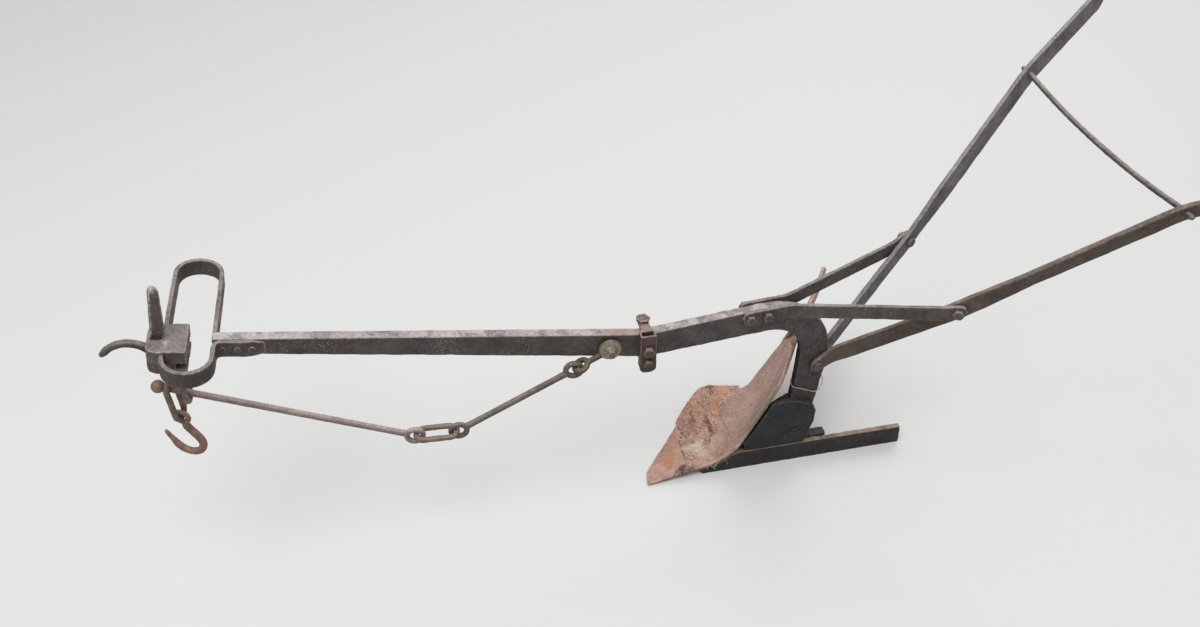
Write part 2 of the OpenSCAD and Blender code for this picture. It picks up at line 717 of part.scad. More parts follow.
module grip(s) {
    color([0.45, 0.33, 0.22]) on_side(s) at_handle() along(handle_end, [cos(grip_tilt), sin(grip_tilt)])
        translate([16, 0, 0]) rotate([0, 90, 0]) difference() {
            union() {
                cylinder(h = 12, d1 = grip_d - 6, d2 = grip_d);
                translate([0, 0, 12]) cylinder(h = grip_len - 40, d1 = grip_d, d2 = grip_d - 6);
                translate([0, 0, grip_len - 28]) sphere(d = grip_d);
            }
            translate([0, 0, -1]) cylinder(h = grip_len - 50, d = tang_d + seat);
        }
}

module near_handle() { handle(-1); }
module far_handle() { handle(1); }
module near_grip() { grip(-1); }
module far_grip() { grip(1); }

// Braces: bolted flat to the beam, bent outwards, and bent again to lie on the outside of the handles
module brace(s) {
    y0 = bar_t / 2 + seat + brace_t / 2;
    out = (handle_t + brace_t) / 2 + seat;
    a = brace_bolts_at[0];
    path = [[a[0], y0, a[1]], [-66, y0, a[1] + 5], handle_point(brace_joint[0] - 32, brace_joint[1] - 8, out),
        handle_point(brace_joint[0], brace_joint[1], out)];
    color([0.3, 0.28, 0.29]) on_side(s) difference() {
        union() {
            leaf(path[0], path[1], brace_t, brace_d, brace_d);
            leaf(path[1], path[2], brace_t, brace_d);
            leaf(path[2], path[3], brace_t, brace_d, 0, brace_d);
            for (i = [1, 2]) bend_fill(path[i], brace_t, brace_d);
        }
        for (p = brace_bolts_at) translate([p[0], 0, p[1]]) rotate([90, 0, 0])
            cylinder(h = 4 * y0, d = bolt_d + hole_play, center = true);
        at_handle() translate([brace_joint[0], 0, brace_joint[1]]) rotate([90, 0, 0])
            cylinder(h = 60, d = joint_bolt_d + hole_play, center = true);
    }
}

module near_brace() { brace(-1); }
module far_brace() { brace(1); }

// Stretcher: a rod that sags between the handles and passes through both
stretcher_x = handle_point(stretcher_joint[0], 0, 0)[0];

module stretcher() {
    half = handle_point(stretcher_joint[0], 0, -handle_t)[1];
    end = 3 * handle_t;
    swing = 7;
    bend_r = 18;
    r = half / sin(swing) - bend_r;
    color([0.28, 0.26, 0.25]) translate([stretcher_x, mid_y - half - end, stretcher_joint[1]])
        rotate([90, 0, 90]) bent_bar(stretcher_d, [[end, -swing, bend_r], [2, 2 * swing, r], [2, -swing, bend_r], [end, 0, 0]]);
}

module brace_bolts() {
    half = bar_t / 2 + seat + brace_t;
    color([0.33, 0.3, 0.28]) for (p = brace_bolts_at) cross_bolt(p, mid_y - half, mid_y + half, bolt_d);
}

module foot_bolt() {
    half = bar_t / 2 + seat + handle_t;
    color([0.33, 0.3, 0.28]) cross_bolt(foot_at, mid_y - half, mid_y + half, bolt_d);
}

module frog_bolts() {
    color([0.3, 0.28, 0.27]) for (p = frog_bolts_at) cross_bolt(p, plate_y0, far_y, bolt_d);
}

module handle_bolt(s) {
    color([0.33, 0.3, 0.28]) on_side(s) at_handle()
        cross_bolt(brace_joint, -handle_t / 2, handle_t / 2 + seat + brace_t, joint_bolt_d);
}

module near_handle_bolt() { handle_bolt(-1); }
module far_handle_bolt() { handle_bolt(1); }

beam();
hake_ring();
head();
head_wedge();
horn_hook();
head_staple();
hanging_link();
draught_hook();
front_rod();
middle_link();
rear_rod();
shackle();
eye_bolt();
coulter_clamp();
clamp_bolts();
share();
moldboard();
frog();
frog_plate();
landside_bar();
moldboard_stay();
near_handle();
far_handle();
near_brace();
far_brace();
stretcher();
near_grip();
far_grip();
brace_bolts();
near_handle_bolt();
far_handle_bolt();
foot_bolt();
frog_bolts();
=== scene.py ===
# Forged iron swing plough, worn and rusted, standing on its sole. Lengths in metres, in the part's frame:
# -X is the way it travels, +Y the furrow side, +Z up.

import math

import bpy
import numpy as np
from mathutils import Matrix, Vector


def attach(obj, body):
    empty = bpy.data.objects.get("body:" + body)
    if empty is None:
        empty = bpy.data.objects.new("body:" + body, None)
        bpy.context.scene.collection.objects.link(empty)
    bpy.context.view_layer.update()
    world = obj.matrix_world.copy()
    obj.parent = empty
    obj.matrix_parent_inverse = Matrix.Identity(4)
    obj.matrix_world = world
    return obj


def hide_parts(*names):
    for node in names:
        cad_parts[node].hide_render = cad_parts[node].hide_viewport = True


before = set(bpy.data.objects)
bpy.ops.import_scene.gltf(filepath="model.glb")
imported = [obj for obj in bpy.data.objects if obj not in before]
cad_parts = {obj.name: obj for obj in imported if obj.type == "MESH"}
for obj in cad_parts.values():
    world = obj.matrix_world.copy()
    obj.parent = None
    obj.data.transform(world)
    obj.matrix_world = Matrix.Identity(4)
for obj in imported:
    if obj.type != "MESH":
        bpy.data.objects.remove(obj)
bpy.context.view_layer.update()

# Camera: a standing person's eye, looking down on the plough from the landside and a little ahead. Its
# focal length is that of a picture 1200 pixels wide.
eye = Vector((-0.7266, -1.4118, 1.7204))
look_down = math.radians(40.4)
look_right = math.radians(11.3)
roll = math.radians(-0.6)
focal_pixels = 1024.7
picture_width = 1200

forward = Vector((math.sin(look_right) * math.cos(look_down), math.cos(look_right) * math.cos(look_down),
                  -math.sin(look_down)))
level = Vector((math.cos(look_right), -math.sin(look_right), 0))
upright = level.cross(forward)
right = math.cos(roll) * level + math.sin(roll) * upright
above = math.cos(roll) * upright - math.sin(roll) * level
lens = bpy.data.cameras.new("camera")
lens.sensor_width = 36
lens.lens = focal_pixels / picture_width * lens.sensor_width
camera = bpy.data.objects.new("camera", lens)
camera.matrix_world = Matrix.Translation(eye) @ Matrix((right, above, -forward)).transposed().to_4x4()
bpy.context.scene.collection.objects.link(camera)
bpy.context.scene.camera = camera
bpy.context.scene.view_settings.view_transform = "Standard"

# Floor and light: a plain pale floor, a broad soft lamp high over the landside, a weaker one behind, and
# an even pale room.


def srgb(r, g, b):
    """Linear colour with alpha from 0-255 display values: the power law of the display standard."""
    parts = [c / 255 for c in (r, g, b)]
    return tuple(c / 12.92 if c < 0.04045 else ((c + 0.055) / 1.055) ** 2.4 for c in parts) + (1.0,)


half = 8.0
floor_mesh = bpy.data.meshes.new("floor")
floor_mesh.from_pydata([(-half, -half, 0), (half, -half, 0), (half, half, 0), (-half, half, 0)], [],
                       [(0, 1, 2, 3)])
floor = bpy.data.objects.new("floor", floor_mesh)
bpy.context.scene.collection.objects.link(floor)
floor_paint = bpy.data.materials.new("floor_paint")
floor_paint.use_nodes = True
paint = floor_paint.node_tree.nodes["Principled BSDF"].inputs
paint["Base Color"].default_value = srgb(208, 207, 204)
paint["Roughness"].default_value = 0.9
floor.data.materials.append(floor_paint)

room = bpy.data.worlds.new("room")
room.use_nodes = True
room.node_tree.nodes["Background"].inputs["Color"].default_value = (0.93, 0.96, 1.0, 1.0)
room.node_tree.nodes["Background"].inputs["Strength"].default_value = 0.62
bpy.context.scene.world = room
lit_point = Vector((-0.3, 0.0, 0.3))
lamps = (("main_lamp", (-1.6, -1.6, 5.6), 225, 3.6), ("back_lamp", (2.4, 3.2, 4.2), 90, 3.4))
for name, place, power, breadth in lamps:
    lamp = bpy.data.lights.new(name, "AREA")
    lamp.energy = power
    lamp.size = breadth
    lamp_object = bpy.data.objects.new(name, lamp)
    turn = (lit_point - Vector(place)).to_track_quat("-Z", "Y")
    lamp_object.matrix_world = Matrix.Translation(place) @ turn.to_matrix().to_4x4()
    bpy.context.scene.collection.objects.link(lamp_object)

# Beam and standard: one forged bar, 21 mm thick, that rises from the standard through an arch and runs
# forward, getting shallower. Hammer marks and pits cover it, and dust lies on its top edge.

mm = 0.001
bar_t = 21 * mm
near_y = 6.3 * mm
mid_y = near_y + bar_t / 2
far_y = near_y + bar_t
bar_round = 3 * mm
# Least height of any point over the floor, and the rounding that counts as a sharp edge, which wears and gets
# a painted highlight
off_floor = 0.3 * mm
sharp_round = 4 * mm


def waves(points, length, seed, count=9):
    """Smooth noise of about +-1: the mean of plane sine waves with random directions, whose lengths lie
    round the one given."""
    dice = np.random.default_rng(seed)
    ways = dice.normal(size=(count, 3))
    ways *= (2 * np.pi / length) * dice.uniform(0.6, 1.8, (count, 1)) / np.linalg.norm(ways, axis=1)[:, None]
    return np.sin(points @ ways.T + dice.uniform(0, 2 * np.pi, count)).mean(-1) * 2


def unit(vectors):
    """Vectors brought to length 1."""
    return vectors / np.linalg.norm(vectors, axis=-1, keepdims=True)


def skin(rings, loop=False):
    """Points and quads of the surface through a stack of closed rings, shape (rings, points, 3). Its two ends
    are closed by strips across the ring, or the last ring joins the first."""
    n, m = rings.shape[:2]
    i = np.arange(n if loop else n - 1)[:, None]
    j = np.arange(m)[None, :]
    after, beside = (i + 1) % n, (j + 1) % m
    quads = np.stack([i * m + j, i * m + beside, after * m + beside, after * m + j], -1).reshape(-1, 4)
    if not loop:
        k = np.arange(m // 2 - 1)
        low = np.stack([k + 1, k, m - 1 - k, m - 2 - k], -1)
        quads = np.concatenate([quads, low, low[:, ::-1] + (n - 1) * m])
    return rings.reshape(-1, 3), quads


def outward(points, quads):
    """Turns the quads round where the closed surface that they make has a negative volume."""
    a, b, c, d = (points[quads[:, k]] for k in range(4))
    volume = (np.einsum("ij,ij->i", a, np.cross(b, c)) + np.einsum("ij,ij->i", a, np.cross(c, d))).sum()
    return quads if volume > 0 else quads[:, ::-1]


def read_points(mesh, what="co"):
    """Places of a mesh's points, or their normals, as rows of three."""
    values = np.empty(len(mesh.vertices) * 3)
    mesh.vertices.foreach_get(what, values)
    return values.reshape(-1, 3)


def stand_out(mesh):
    """How sharply each point stands out of the surface, 0 to 1: the mean over its edges of
    2 (p - q) . normal / |p - q| squared, which is the curvature, against that of a sharp rounding. Two
    passes then ease it halfway towards the neighbours' mean."""
    n = len(mesh.vertices)
    points, normals = read_points(mesh), read_points(mesh, "normal")
    ends = np.empty(len(mesh.edges) * 2, int)
    mesh.edges.foreach_get("vertices", ends)
    a, b = ends.reshape(-1, 2).T
    d = points[a] - points[b]
    reach = np.maximum((d * d).sum(1), 1e-12)
    edges = np.maximum(np.bincount(a, minlength=n) + np.bincount(b, minlength=n), 1)

    def mean(from_a, from_b):
        return (np.bincount(a, from_a, n) + np.bincount(b, from_b, n)) / edges

    curve = mean(2 * (d * normals[a]).sum(1) / reach, -2 * (d * normals[b]).sum(1) / reach)
    for _ in range(2):
        curve = 0.5 * curve + 0.5 * mean(curve[b], curve[a])
    return np.clip(curve * sharp_round, 0, 1)


def dressed(name, mesh, finish, body, replaced, rough, grain):
    """Object of a finished mesh, pushed in and out by the smith's uneven work: two sizes of smooth noise
    along the normals, grain and a third of it long. How far each point stands out is kept as an attribute,
    the mask for worn edges and their painted highlight."""
    points, normals = read_points(mesh), read_points(mesh, "normal")
    seed = sum(name.encode())
    push = waves(points, grain, seed) + 0.45 * waves(points, grain / 3, seed + 1)
    points = points + normals * (push * rough)[:, None]
    points[:, 2] = np.maximum(points[:, 2], off_floor)
    mesh.vertices.foreach_set("co", points.ravel())
    mesh.update()
    edge_wear_and_highlight = mesh.attributes.new("edge_wear_and_highlight", "FLOAT", "POINT")
    edge_wear_and_highlight.data.foreach_set("value", stand_out(mesh).astype(np.float32))
    made = bpy.data.objects.new(name, mesh)
    bpy.context.scene.collection.objects.link(made)
    made.data.materials.append(finish)
    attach(made, body)
    if replaced:
        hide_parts(*replaced)
    return made


def piece(name, shape, finish, body, replaced=(), rough=0.35 * mm, grain=22 * mm):
    """Object from closed points and quads, on its body and in place of the solids named."""
    points, quads = shape
    mesh = bpy.data.meshes.new(name)
    mesh.from_pydata(points.tolist(), [], outward(points, quads).tolist())
    mesh.polygons.foreach_set("use_smooth", np.ones(len(mesh.polygons), bool))
    mesh.update()
    return dressed(name, mesh, finish, body, replaced, rough, grain)


def bar_rings(centre, side, up, half_t, half_d, edge):
    """Rings of a flat bar carried along centre points: a rectangle of half sizes half_t along side and half_d
    along up, with corners rounded by edge. Towards each end the rounding shrinks along a quarter circle."""
    n = len(centre)
    corner = np.radians([6, 32, 58, 84])
    flat_t, flat_d = np.linspace(1, -1, 5)[1:-1], np.linspace(1, -1, 9)[1:-1]
    profile = []
    for quarter, (sx, sy) in enumerate(((1, 1), (-1, 1), (-1, -1), (1, -1))):
        profile += [(sx, sy, math.cos(a), math.sin(a)) for a in corner + quarter * np.pi / 2]
        profile += [((f, 1, 0, 1), (-1, f, -1, 0), (-f, -1, 0, -1), (1, -f, 1, 0))[quarter]
                    for f in (flat_d if quarter % 2 else flat_t)]
    sx, sy, cx, cy = np.array(profile).T
    caps = np.radians([90, 60, 30, 0])
    kept = np.r_[0, 0, 0, np.arange(n), n - 1, n - 1, n - 1]
    half_t, half_d, edge = (np.broadcast_to(np.asarray(v, float), n)[kept] for v in (half_t, half_d, edge))
    centre, side, up = centre[kept], side[kept], up[kept]
    ways = unit(centre[0] - centre[4]), unit(centre[-1] - centre[-5])
    centre[:4] += np.outer((np.sin(caps) - 1) * edge[0], ways[0])
    centre[-4:] += np.outer((np.sin(caps[::-1]) - 1) * edge[-1], ways[1])
    rounding = edge * np.cos(np.r_[caps, np.zeros(n - 2), caps[::-1]])
    across = sx * (half_t - edge)[:, None] + cx * rounding[:, None]
    upward = sy * (half_d - edge)[:, None] + cy * rounding[:, None]
    return centre[:, None] + across[..., None] * side[:, None] + upward[..., None] * up[:, None]


def eased(points, times):
    """Softens the bends of an evenly stepped line: each pass moves the inner points halfway to the middle of
    their neighbours."""
    points = points.copy()
    for _ in range(times):
        points[1:-1] = 0.5 * points[1:-1] + 0.25 * (points[:-2] + points[2:])
    return points


def arc_points(centre, radius, first, last, count):
    """Points of an arc in two dimensions, angles in degrees."""
    a = np.radians(np.linspace(first, last, count))
    return np.stack([centre[0] + radius * np.cos(a), centre[1] + radius * np.sin(a)], -1)


front_end = np.array([-1126, 537]) * mm
clamp_at = np.array([-353, 391]) * mm
front_depth, clamp_depth = 34 * mm, 57 * mm
nose_up = math.atan2(front_end[1] - clamp_at[1], clamp_at[0] - front_end[0])
beam_up = np.array([math.sin(nose_up), math.cos(nose_up)])
arch_c = np.array([-100, 314]) * mm
arch_r, arch_inner = 130 * mm, 70 * mm
arch_first = 95.53
standard_rear = np.array([[30, 270], [22, 190], [6, 56]]) * mm
standard_front = np.array([[-30, 270], [-34, 190], [-46, 56]]) * mm


def beam_edge(sign):
    """Top edge of the bar (sign 1) or its bottom edge (-1), by stations that match: the straight front, the
    straight rear, the arch and three stretches of the standard."""
    nose = front_end + sign * beam_up * front_depth / 2
    clamp = clamp_at + np.array([0, sign * clamp_depth / 2])
    arch = arc_points(arch_c, arch_r if sign > 0 else arch_inner, arch_first, 0, 41)
    foot = standard_rear if sign > 0 else standard_front
    stretches = ((nose, clamp, 140), (clamp, arch[0], 44), (arch[-1], foot[0], 8), (foot[0], foot[1], 16),
                 (foot[1], foot[2], 27))
    lines = [np.linspace(a, b, stations, endpoint=False) for a, b, stations in stretches]
    return eased(np.concatenate([*lines[:2], arch[:-1], *lines[2:], foot[2:]]), 30)


def in_side_view(points, y):
    """Points of the side view (x, z) put in the plane at y."""
    return np.stack([points[:, 0], np.full(len(points), y), points[:, 1]], -1)


def slab_rings(top, bottom, y, thickness, edge):
    """Rings of an upright bar between its top and bottom edge lines in side view."""
    depth = np.linalg.norm(top - bottom, axis=1)
    up = in_side_view((top - bottom) / depth[:, None], 0)
    side = np.tile([0.0, 1.0, 0.0], (len(top), 1))
    return bar_rings(in_side_view((top + bottom) / 2, y), side, up, thickness / 2, depth / 2, edge)


def add(tree, kind, wires=None, **settings):
    """Adds a node to a tree; wires gives its inputs by name or index, as values or other nodes' sockets."""
    made = tree.nodes.new(kind)
    for name, value in settings.items():
        setattr(made, name, value)
    for key, value in (wires or {}).items():
        if isinstance(value, bpy.types.NodeSocket):
            tree.links.new(value, made.inputs[key])
        else:
            made.inputs[key].default_value = value
    return made


def maths(tree, way, a, b):
    """Output of a Math node with two inputs."""
    return add(tree, "ShaderNodeMath", {0: a, 1: b}, operation=way).outputs[0]


def weathered_iron():
    """Group that colours old iron: scale mottled light and dark, rust in patches, pale dust where the surface
    faces up, metal rubbed lighter where it stands out, which also paints a highlight on the edges. Height is
    the pitting for a Bump node."""
    tree = bpy.data.node_groups.new("weathered_iron", "ShaderNodeTree")
    colours = (("Scale Colour", (0.1, 0.1, 0.1, 1)), ("Rust Colour", (0.2, 0.1, 0.05, 1)),
               ("Dust Colour", (0.3, 0.27, 0.25, 1)), ("Wear Highlight Colour", (0.3, 0.27, 0.25, 1)))
    amounts = (("Rust", 0.5), ("Dust", 0.5), ("Wear Highlight", 0.5), ("Specks", 0.3), ("Edge Wear And Highlight", 0.0), ("Grain", 1.0))
    for kind, sockets in (("NodeSocketColor", colours), ("NodeSocketFloat", amounts)):
        for name, value in sockets:
            tree.interface.new_socket(name, in_out="INPUT", socket_type=kind).default_value = value
    for name, kind in (("Color", "NodeSocketColor"), ("Roughness", "NodeSocketFloat"),
                       ("Height", "NodeSocketFloat")):
        tree.interface.new_socket(name, in_out="OUTPUT", socket_type=kind)
    given = tree.nodes.new("NodeGroupInput").outputs
    place = add(tree, "ShaderNodeTexCoord").outputs

    def noise(scale, detail, rough=0.55, distortion=0.0):
        size = maths(tree, "MULTIPLY", given["Grain"], scale)
        wires = {"Vector": place["Object"], "Scale": size, "Detail": detail, "Roughness": rough,
                 "Distortion": distortion}
        return add(tree, "ShaderNodeTexNoise", wires).outputs["Fac"]

    def cells(scale, feature):
        wires = {"Vector": place["Object"], "Scale": times(given["Grain"], scale)}
        return add(tree, "ShaderNodeTexVoronoi", wires, feature=feature).outputs["Distance"]

    def ramp(value, low, high, to_low=0.0, to_high=1.0):
        wires = {"Value": value, "From Min": low, "From Max": high, "To Min": to_low, "To Max": to_high}
        return add(tree, "ShaderNodeMapRange", wires, interpolation_type="SMOOTHSTEP").outputs[0]

    def times(a, b):
        return maths(tree, "MULTIPLY", a, b)

    def plus(a, b):
        return maths(tree, "ADD", a, b)

    def mixed(factor, a, b, way="MIX"):
        wires = {0: factor, 6: a, 7: b}
        return add(tree, "ShaderNodeMix", wires, data_type="RGBA", blend_type=way).outputs[2]

    broad, mottle, fine, speck = noise(9, 3), noise(34, 6, 0.62, 0.6), noise(160, 5, 0.6), noise(620, 3, 0.6)
    shade = plus(ramp(broad, 0.3, 0.7, -0.16, 0.16), ramp(fine, 0.3, 0.7, -0.2, 0.2))
    shade = plus(shade, ramp(speck, 0.3, 0.7, 0.84, 1.16))
    rust_from = maths(tree, "SUBTRACT", 0.78, times(given["Rust"], 0.42))
    spots = plus(times(mottle, 0.75), times(speck, 0.25))
    wires = {"Value": spots, "From Min": rust_from, "From Max": plus(rust_from, 0.14)}
    rusty = add(tree, "ShaderNodeMapRange", wires).outputs[0]
    colour = mixed(rusty, given["Scale Colour"], given["Rust Colour"])
    blotch = ramp(noise(21, 5, 0.6, 1.2), 0.46, 0.62, 0.0, 0.5)
    colour = mixed(blotch, colour, mixed(1.0, colour, (0.5, 0.48, 0.5, 1), "MULTIPLY"))
    up = add(tree, "ShaderNodeSeparateXYZ", {0: place["Normal"]}).outputs["Z"]
    settled = times(times(ramp(up, 0.25, 0.92), ramp(mottle, 0.34, 0.58, 0.35, 1.0)), given["Dust"])
    colour = mixed(settled, colour, given["Dust Colour"])
    # Edges that stand out are rubbed lighter: real wear, and a painted highlight along the edges
    rubbed_highlight = times(times(ramp(given["Edge Wear And Highlight"], 0.22, 0.75), ramp(fine, 0.36, 0.6, 0.25, 1.0)), given["Wear Highlight"])
    colour = mixed(rubbed_highlight, colour, given["Wear Highlight Colour"])
    lit = add(tree, "ShaderNodeCombineColor", {0: shade, 1: shade, 2: shade}).outputs[0]
    colour = mixed(1.0, colour, lit, "MULTIPLY")
    dots = times(ramp(cells(260.0, "F1"), 0.12, 0.3, 1.0, 0.0), ramp(noise(13, 4, 0.6), 0.46, 0.62))
    colour = mixed(times(dots, given["Specks"]), colour, given["Dust Colour"])
    pits = ramp(cells(210.0, "SMOOTH_F1"), 0.0, 0.35)
    dull = maths(tree, "SUBTRACT", ramp(mottle, 0.3, 0.7, 0.54, 0.82), times(rubbed_highlight, 0.2))
    height = plus(times(mottle, 0.5), times(fine, 0.35))
    height = plus(plus(height, times(pits, 0.25)), times(speck, 0.12))
    out = tree.nodes.new("NodeGroupOutput")
    for name, socket in (("Color", colour), ("Roughness", dull), ("Height", height)):
        tree.links.new(socket, out.inputs[name])
    return tree


iron_group = weathered_iron()


def stained():
    """Group that lays a stain over a colour: Amount says where, broken up by noise into ragged edges."""
    tree = bpy.data.node_groups.new("stained", "ShaderNodeTree")
    for name, kind in (("Color", "NodeSocketColor"), ("Stain", "NodeSocketColor"),
                       ("Amount", "NodeSocketFloat")):
        tree.interface.new_socket(name, in_out="INPUT", socket_type=kind)
    tree.interface.new_socket("Color", in_out="OUTPUT", socket_type="NodeSocketColor")
    given = tree.nodes.new("NodeGroupInput").outputs
    place = add(tree, "ShaderNodeTexCoord").outputs["Object"]
    wires = {"Vector": place, "Scale": 60.0, "Detail": 9.0, "Roughness": 0.72, "Distortion": 0.8}
    broken = add(tree, "ShaderNodeTexNoise", wires).outputs["Fac"]
    total = maths(tree, "ADD", maths(tree, "MULTIPLY", given["Amount"], 0.75), broken)
    wires = {"Value": total, "From Min": 0.72, "From Max": 0.96, "To Max": 0.85}
    part = add(tree, "ShaderNodeMapRange", wires).outputs[0]
    made = add(tree, "ShaderNodeMix", {0: part, 6: given["Color"], 7: given["Stain"]}, data_type="RGBA")
    out = tree.nodes.new("NodeGroupOutput")
    tree.links.new(made.outputs[2], out.inputs["Color"])
    return tree


stain_group = stained()


def iron(name, scale, rust, dust, rubbed_highlight, rust_part=0.5, dust_part=0.6, rubbed_highlight_part=0.6, grain=1.0,
         metal=0.35, bump=0.5, specks=0.35, stains=()):
    """Material of old iron in four colours, given as display values, and how much of each shows. Stains are
    colours laid over it, one for each channel of the attribute tint."""
    # The fourth colour lightens edges that stand out: wear, and a painted highlight on the edges
    made = bpy.data.materials.new(name)
    made.use_nodes = True
    tree = made.node_tree
    surface = tree.nodes["Principled BSDF"]
    edge_wear_and_highlight = add(tree, "ShaderNodeAttribute", attribute_name="edge_wear_and_highlight").outputs["Fac"]
    group = add(tree, "ShaderNodeGroup", node_tree=iron_group)
    colours = {"Scale Colour": scale, "Rust Colour": rust, "Dust Colour": dust, "Wear Highlight Colour": rubbed_highlight}
    for key, value in colours.items():
        group.inputs[key].default_value = srgb(*value)
    amounts = {"Rust": rust_part, "Dust": dust_part, "Wear Highlight": rubbed_highlight_part, "Grain": grain, "Specks": specks}
    for key, value in amounts.items():
        group.inputs[key].default_value = value
    tree.links.new(edge_wear_and_highlight, group.inputs["Edge Wear And Highlight"])
    colour = group.outputs["Color"]
    if stains:
        tint = add(tree, "ShaderNodeAttribute", attribute_name="tint").outputs["Vector"]
        channels = add(tree, "ShaderNodeSeparateXYZ", {0: tint}).outputs
        for channel, stain in zip(channels, stains):
            laid = add(tree, "ShaderNodeGroup", node_tree=stain_group)
            laid.inputs["Stain"].default_value = srgb(*stain)
            tree.links.new(colour, laid.inputs["Color"])
            tree.links.new(channel, laid.inputs["Amount"])
            colour = laid.outputs["Color"]
    tree.links.new(colour, surface.inputs["Base Color"])
    tree.links.new(group.outputs["Roughness"], surface.inputs["Roughness"])
    wires = {"Height": group.outputs["Height"], "Strength": bump, "Distance": 0.0022}
    tree.links.new(add(tree, "ShaderNodeBump", wires).outputs["Normal"], surface.inputs["Normal"])
    surface.inputs["Metallic"].default_value = metal
    surface.inputs["Specular IOR Level"].default_value = 0.35
    return made


def tinted(made, channels):
    """Gives a piece the attribute tint: three masks, worked out from the places of its points."""
    points = read_points(made.data)
    tint = np.stack([np.broadcast_to(c, len(points)) for c in channels(points)], -1)
    made.data.attributes.new("tint", "FLOAT_VECTOR", "POINT").data.foreach_set("vector", tint.ravel())


def rise(value, low, high):
    """Smooth step from 0 to 1 between low and high; high below low turns it round."""
    part = np.clip((value - low) / (high - low), 0, 1)
    return part * part * (3 - 2 * part)


def beam_tint(p):
    """Painted shade, darker towards the foot under the arch; reddish on top between eye bolt and clamp; a
    green-brown bloom on the near side between nose and clamp."""
    x, y, z = p.T
    # Painted shade: the standard and the arch darken low down
    dark = 0.5 * rise(z, 0.42, 0.28) * rise(x, -0.2, -0.02)
    on_top = rise(y, near_y, near_y + 3 * mm) * rise(y, far_y, far_y - 3 * mm)
    red = 0.5 * rise(x, -0.46, -0.42) * rise(x, -0.34, -0.365) * on_top
    brown = 0.34 * rise(x, -0.95, -0.6) * rise(x, -0.28, -0.34) * rise(y, near_y + 2 * mm, near_y)
    return dark, red, brown


# The first stain is painted shade low on the standard; the others are rust and a bloom
beam_finish = iron("beam_finish", (78, 71, 69), (100, 76, 70), (178, 168, 166), (136, 124, 120), 0.45, 1.0,
                   0.6, specks=0.8, stains=((52, 47, 48), (164, 132, 122), (80, 78, 62)))
beam_shape = skin(slab_rings(beam_edge(1), beam_edge(-1), mid_y, bar_t, bar_round))
beam_piece = piece("beam_bar", beam_shape, beam_finish, "plough", ["beam"], 0.5 * mm, 38 * mm)
tinted(beam_piece, beam_tint)

# Handles: two flat bars bolted to the standard below its arch. Each is bent outwards there and stands on its
# edge, and its end is drawn down to a tang that the grip is driven on.

# Gap between pieces that are bolted or laid together
seat = 0.3 * mm
handle_t, handle_d = 10 * mm, 36 * mm
handle_off = bar_t / 2 + seat + handle_t / 2
splay = math.radians(27)
handle_start = np.array([38, 297]) * mm
foot_bolt = np.array([10, 275]) * mm
brace_joint = np.array([214, 463]) * mm
stretcher_joint = np.array([517, 741]) * mm
grip_tilt = math.radians(25)
grip_way = np.array([math.cos(grip_tilt), math.sin(grip_tilt)])
grip_len = 130 * mm
handle_end = np.array([727 * mm, 905 * mm - grip_len * grip_way[1]])
tang_r, tang_len, tang_taper = 6.5 * mm, 100 * mm, 36 * mm
leans = {-1: math.radians(22), 1: math.radians(14)}


def run_along(points):
    """Distance run along a line at each of its points."""
    return np.r_[0, np.cumsum(np.linalg.norm(np.diff(points, axis=0), axis=1))]


def spread(points, step):
    """Points at even steps along a line of straight stretches."""
    points = np.asarray(points, float)
    run = run_along(points)
    at = np.linspace(0, run[-1], max(int(run[-1] / step), 2) + 1)
    return np.stack([np.interp(at, run, points[:, k]) for k in range(points.shape[1])], -1)


def handle_place(points, side, out=0.0):
    """Points (run along the bar, height) of a handle's upright plane, put at side -1 (near) or 1 (far); out
    moves them outwards across that plane."""
    along = np.array([math.cos(splay), math.sin(splay)])
    across = np.array([-math.sin(splay), math.cos(splay)])
    plan = np.array([handle_start[0], handle_off]) + points[:, :1] * along + out * across
    return np.stack([plan[:, 0], mid_y + side * plan[:, 1], points[:, 1]], -1)


def rounded_off(left, radius):
    """Share of its depth that a bar keeps at a distance left from its rounded end: a half circle."""
    return np.sqrt(np.maximum(1 - np.clip(1 - left / radius, 0, 1) ** 2, 0.03))


def handle_shape(side):
    """The bar as rings along its centre line: foot, bend, straight, curve at the stretcher, and tang. Its
    foot is narrower, and past the brace its section leans with the top outwards."""
    tang_end = handle_end + 70 * mm * grip_way
    line = spread([(0, handle_start[1]), brace_joint, stretcher_joint, handle_end, tang_end], 6 * mm)
    slope = math.atan2(brace_joint[1] - handle_start[1], brace_joint[0])
    foot = np.array([foot_bolt[0], handle_start[1] - (handle_start[0] - foot_bolt[0]) * math.tan(slope)])
    foot_end = foot - np.array([math.cos(slope), math.sin(slope)]) * handle_d / 2
    lead = in_side_view(spread([foot_end, foot, handle_start], 3 * mm), mid_y + side * handle_off)
    centre = eased(spread(np.concatenate([lead[:-1], handle_place(line, side)]), 5 * mm), 10)
    run = run_along(centre)
    way = unit(np.gradient(centre, axis=0))
    across = unit(np.cross([0, 0, 1], way))
    up = np.cross(way, across)
    drawn = rise(run, run[-1] - tang_len, run[-1] - tang_len + tang_taper)
    half_d = handle_d / 2 + (tang_r - handle_d / 2) * drawn
    half_t = handle_t / 2 + (tang_r - handle_t / 2) * drawn
    half_d = half_d * (0.72 + 0.28 * np.clip(run / (75 * mm), 0, 1)) * rounded_off(run, 13 * mm)
    edge = np.minimum(2.6 * mm + 3.4 * mm * drawn, 0.96 * np.minimum(half_d, half_t))
    lean = side * leans[side] * rise(run, 340 * mm, 470 * mm)[:, None]
    leaning_side = across * np.cos(lean) - up * np.sin(lean)
    leaning_up = up * np.cos(lean) + across * np.sin(lean)
    return skin(bar_rings(centre, leaning_side, leaning_up, half_t, half_d, edge))


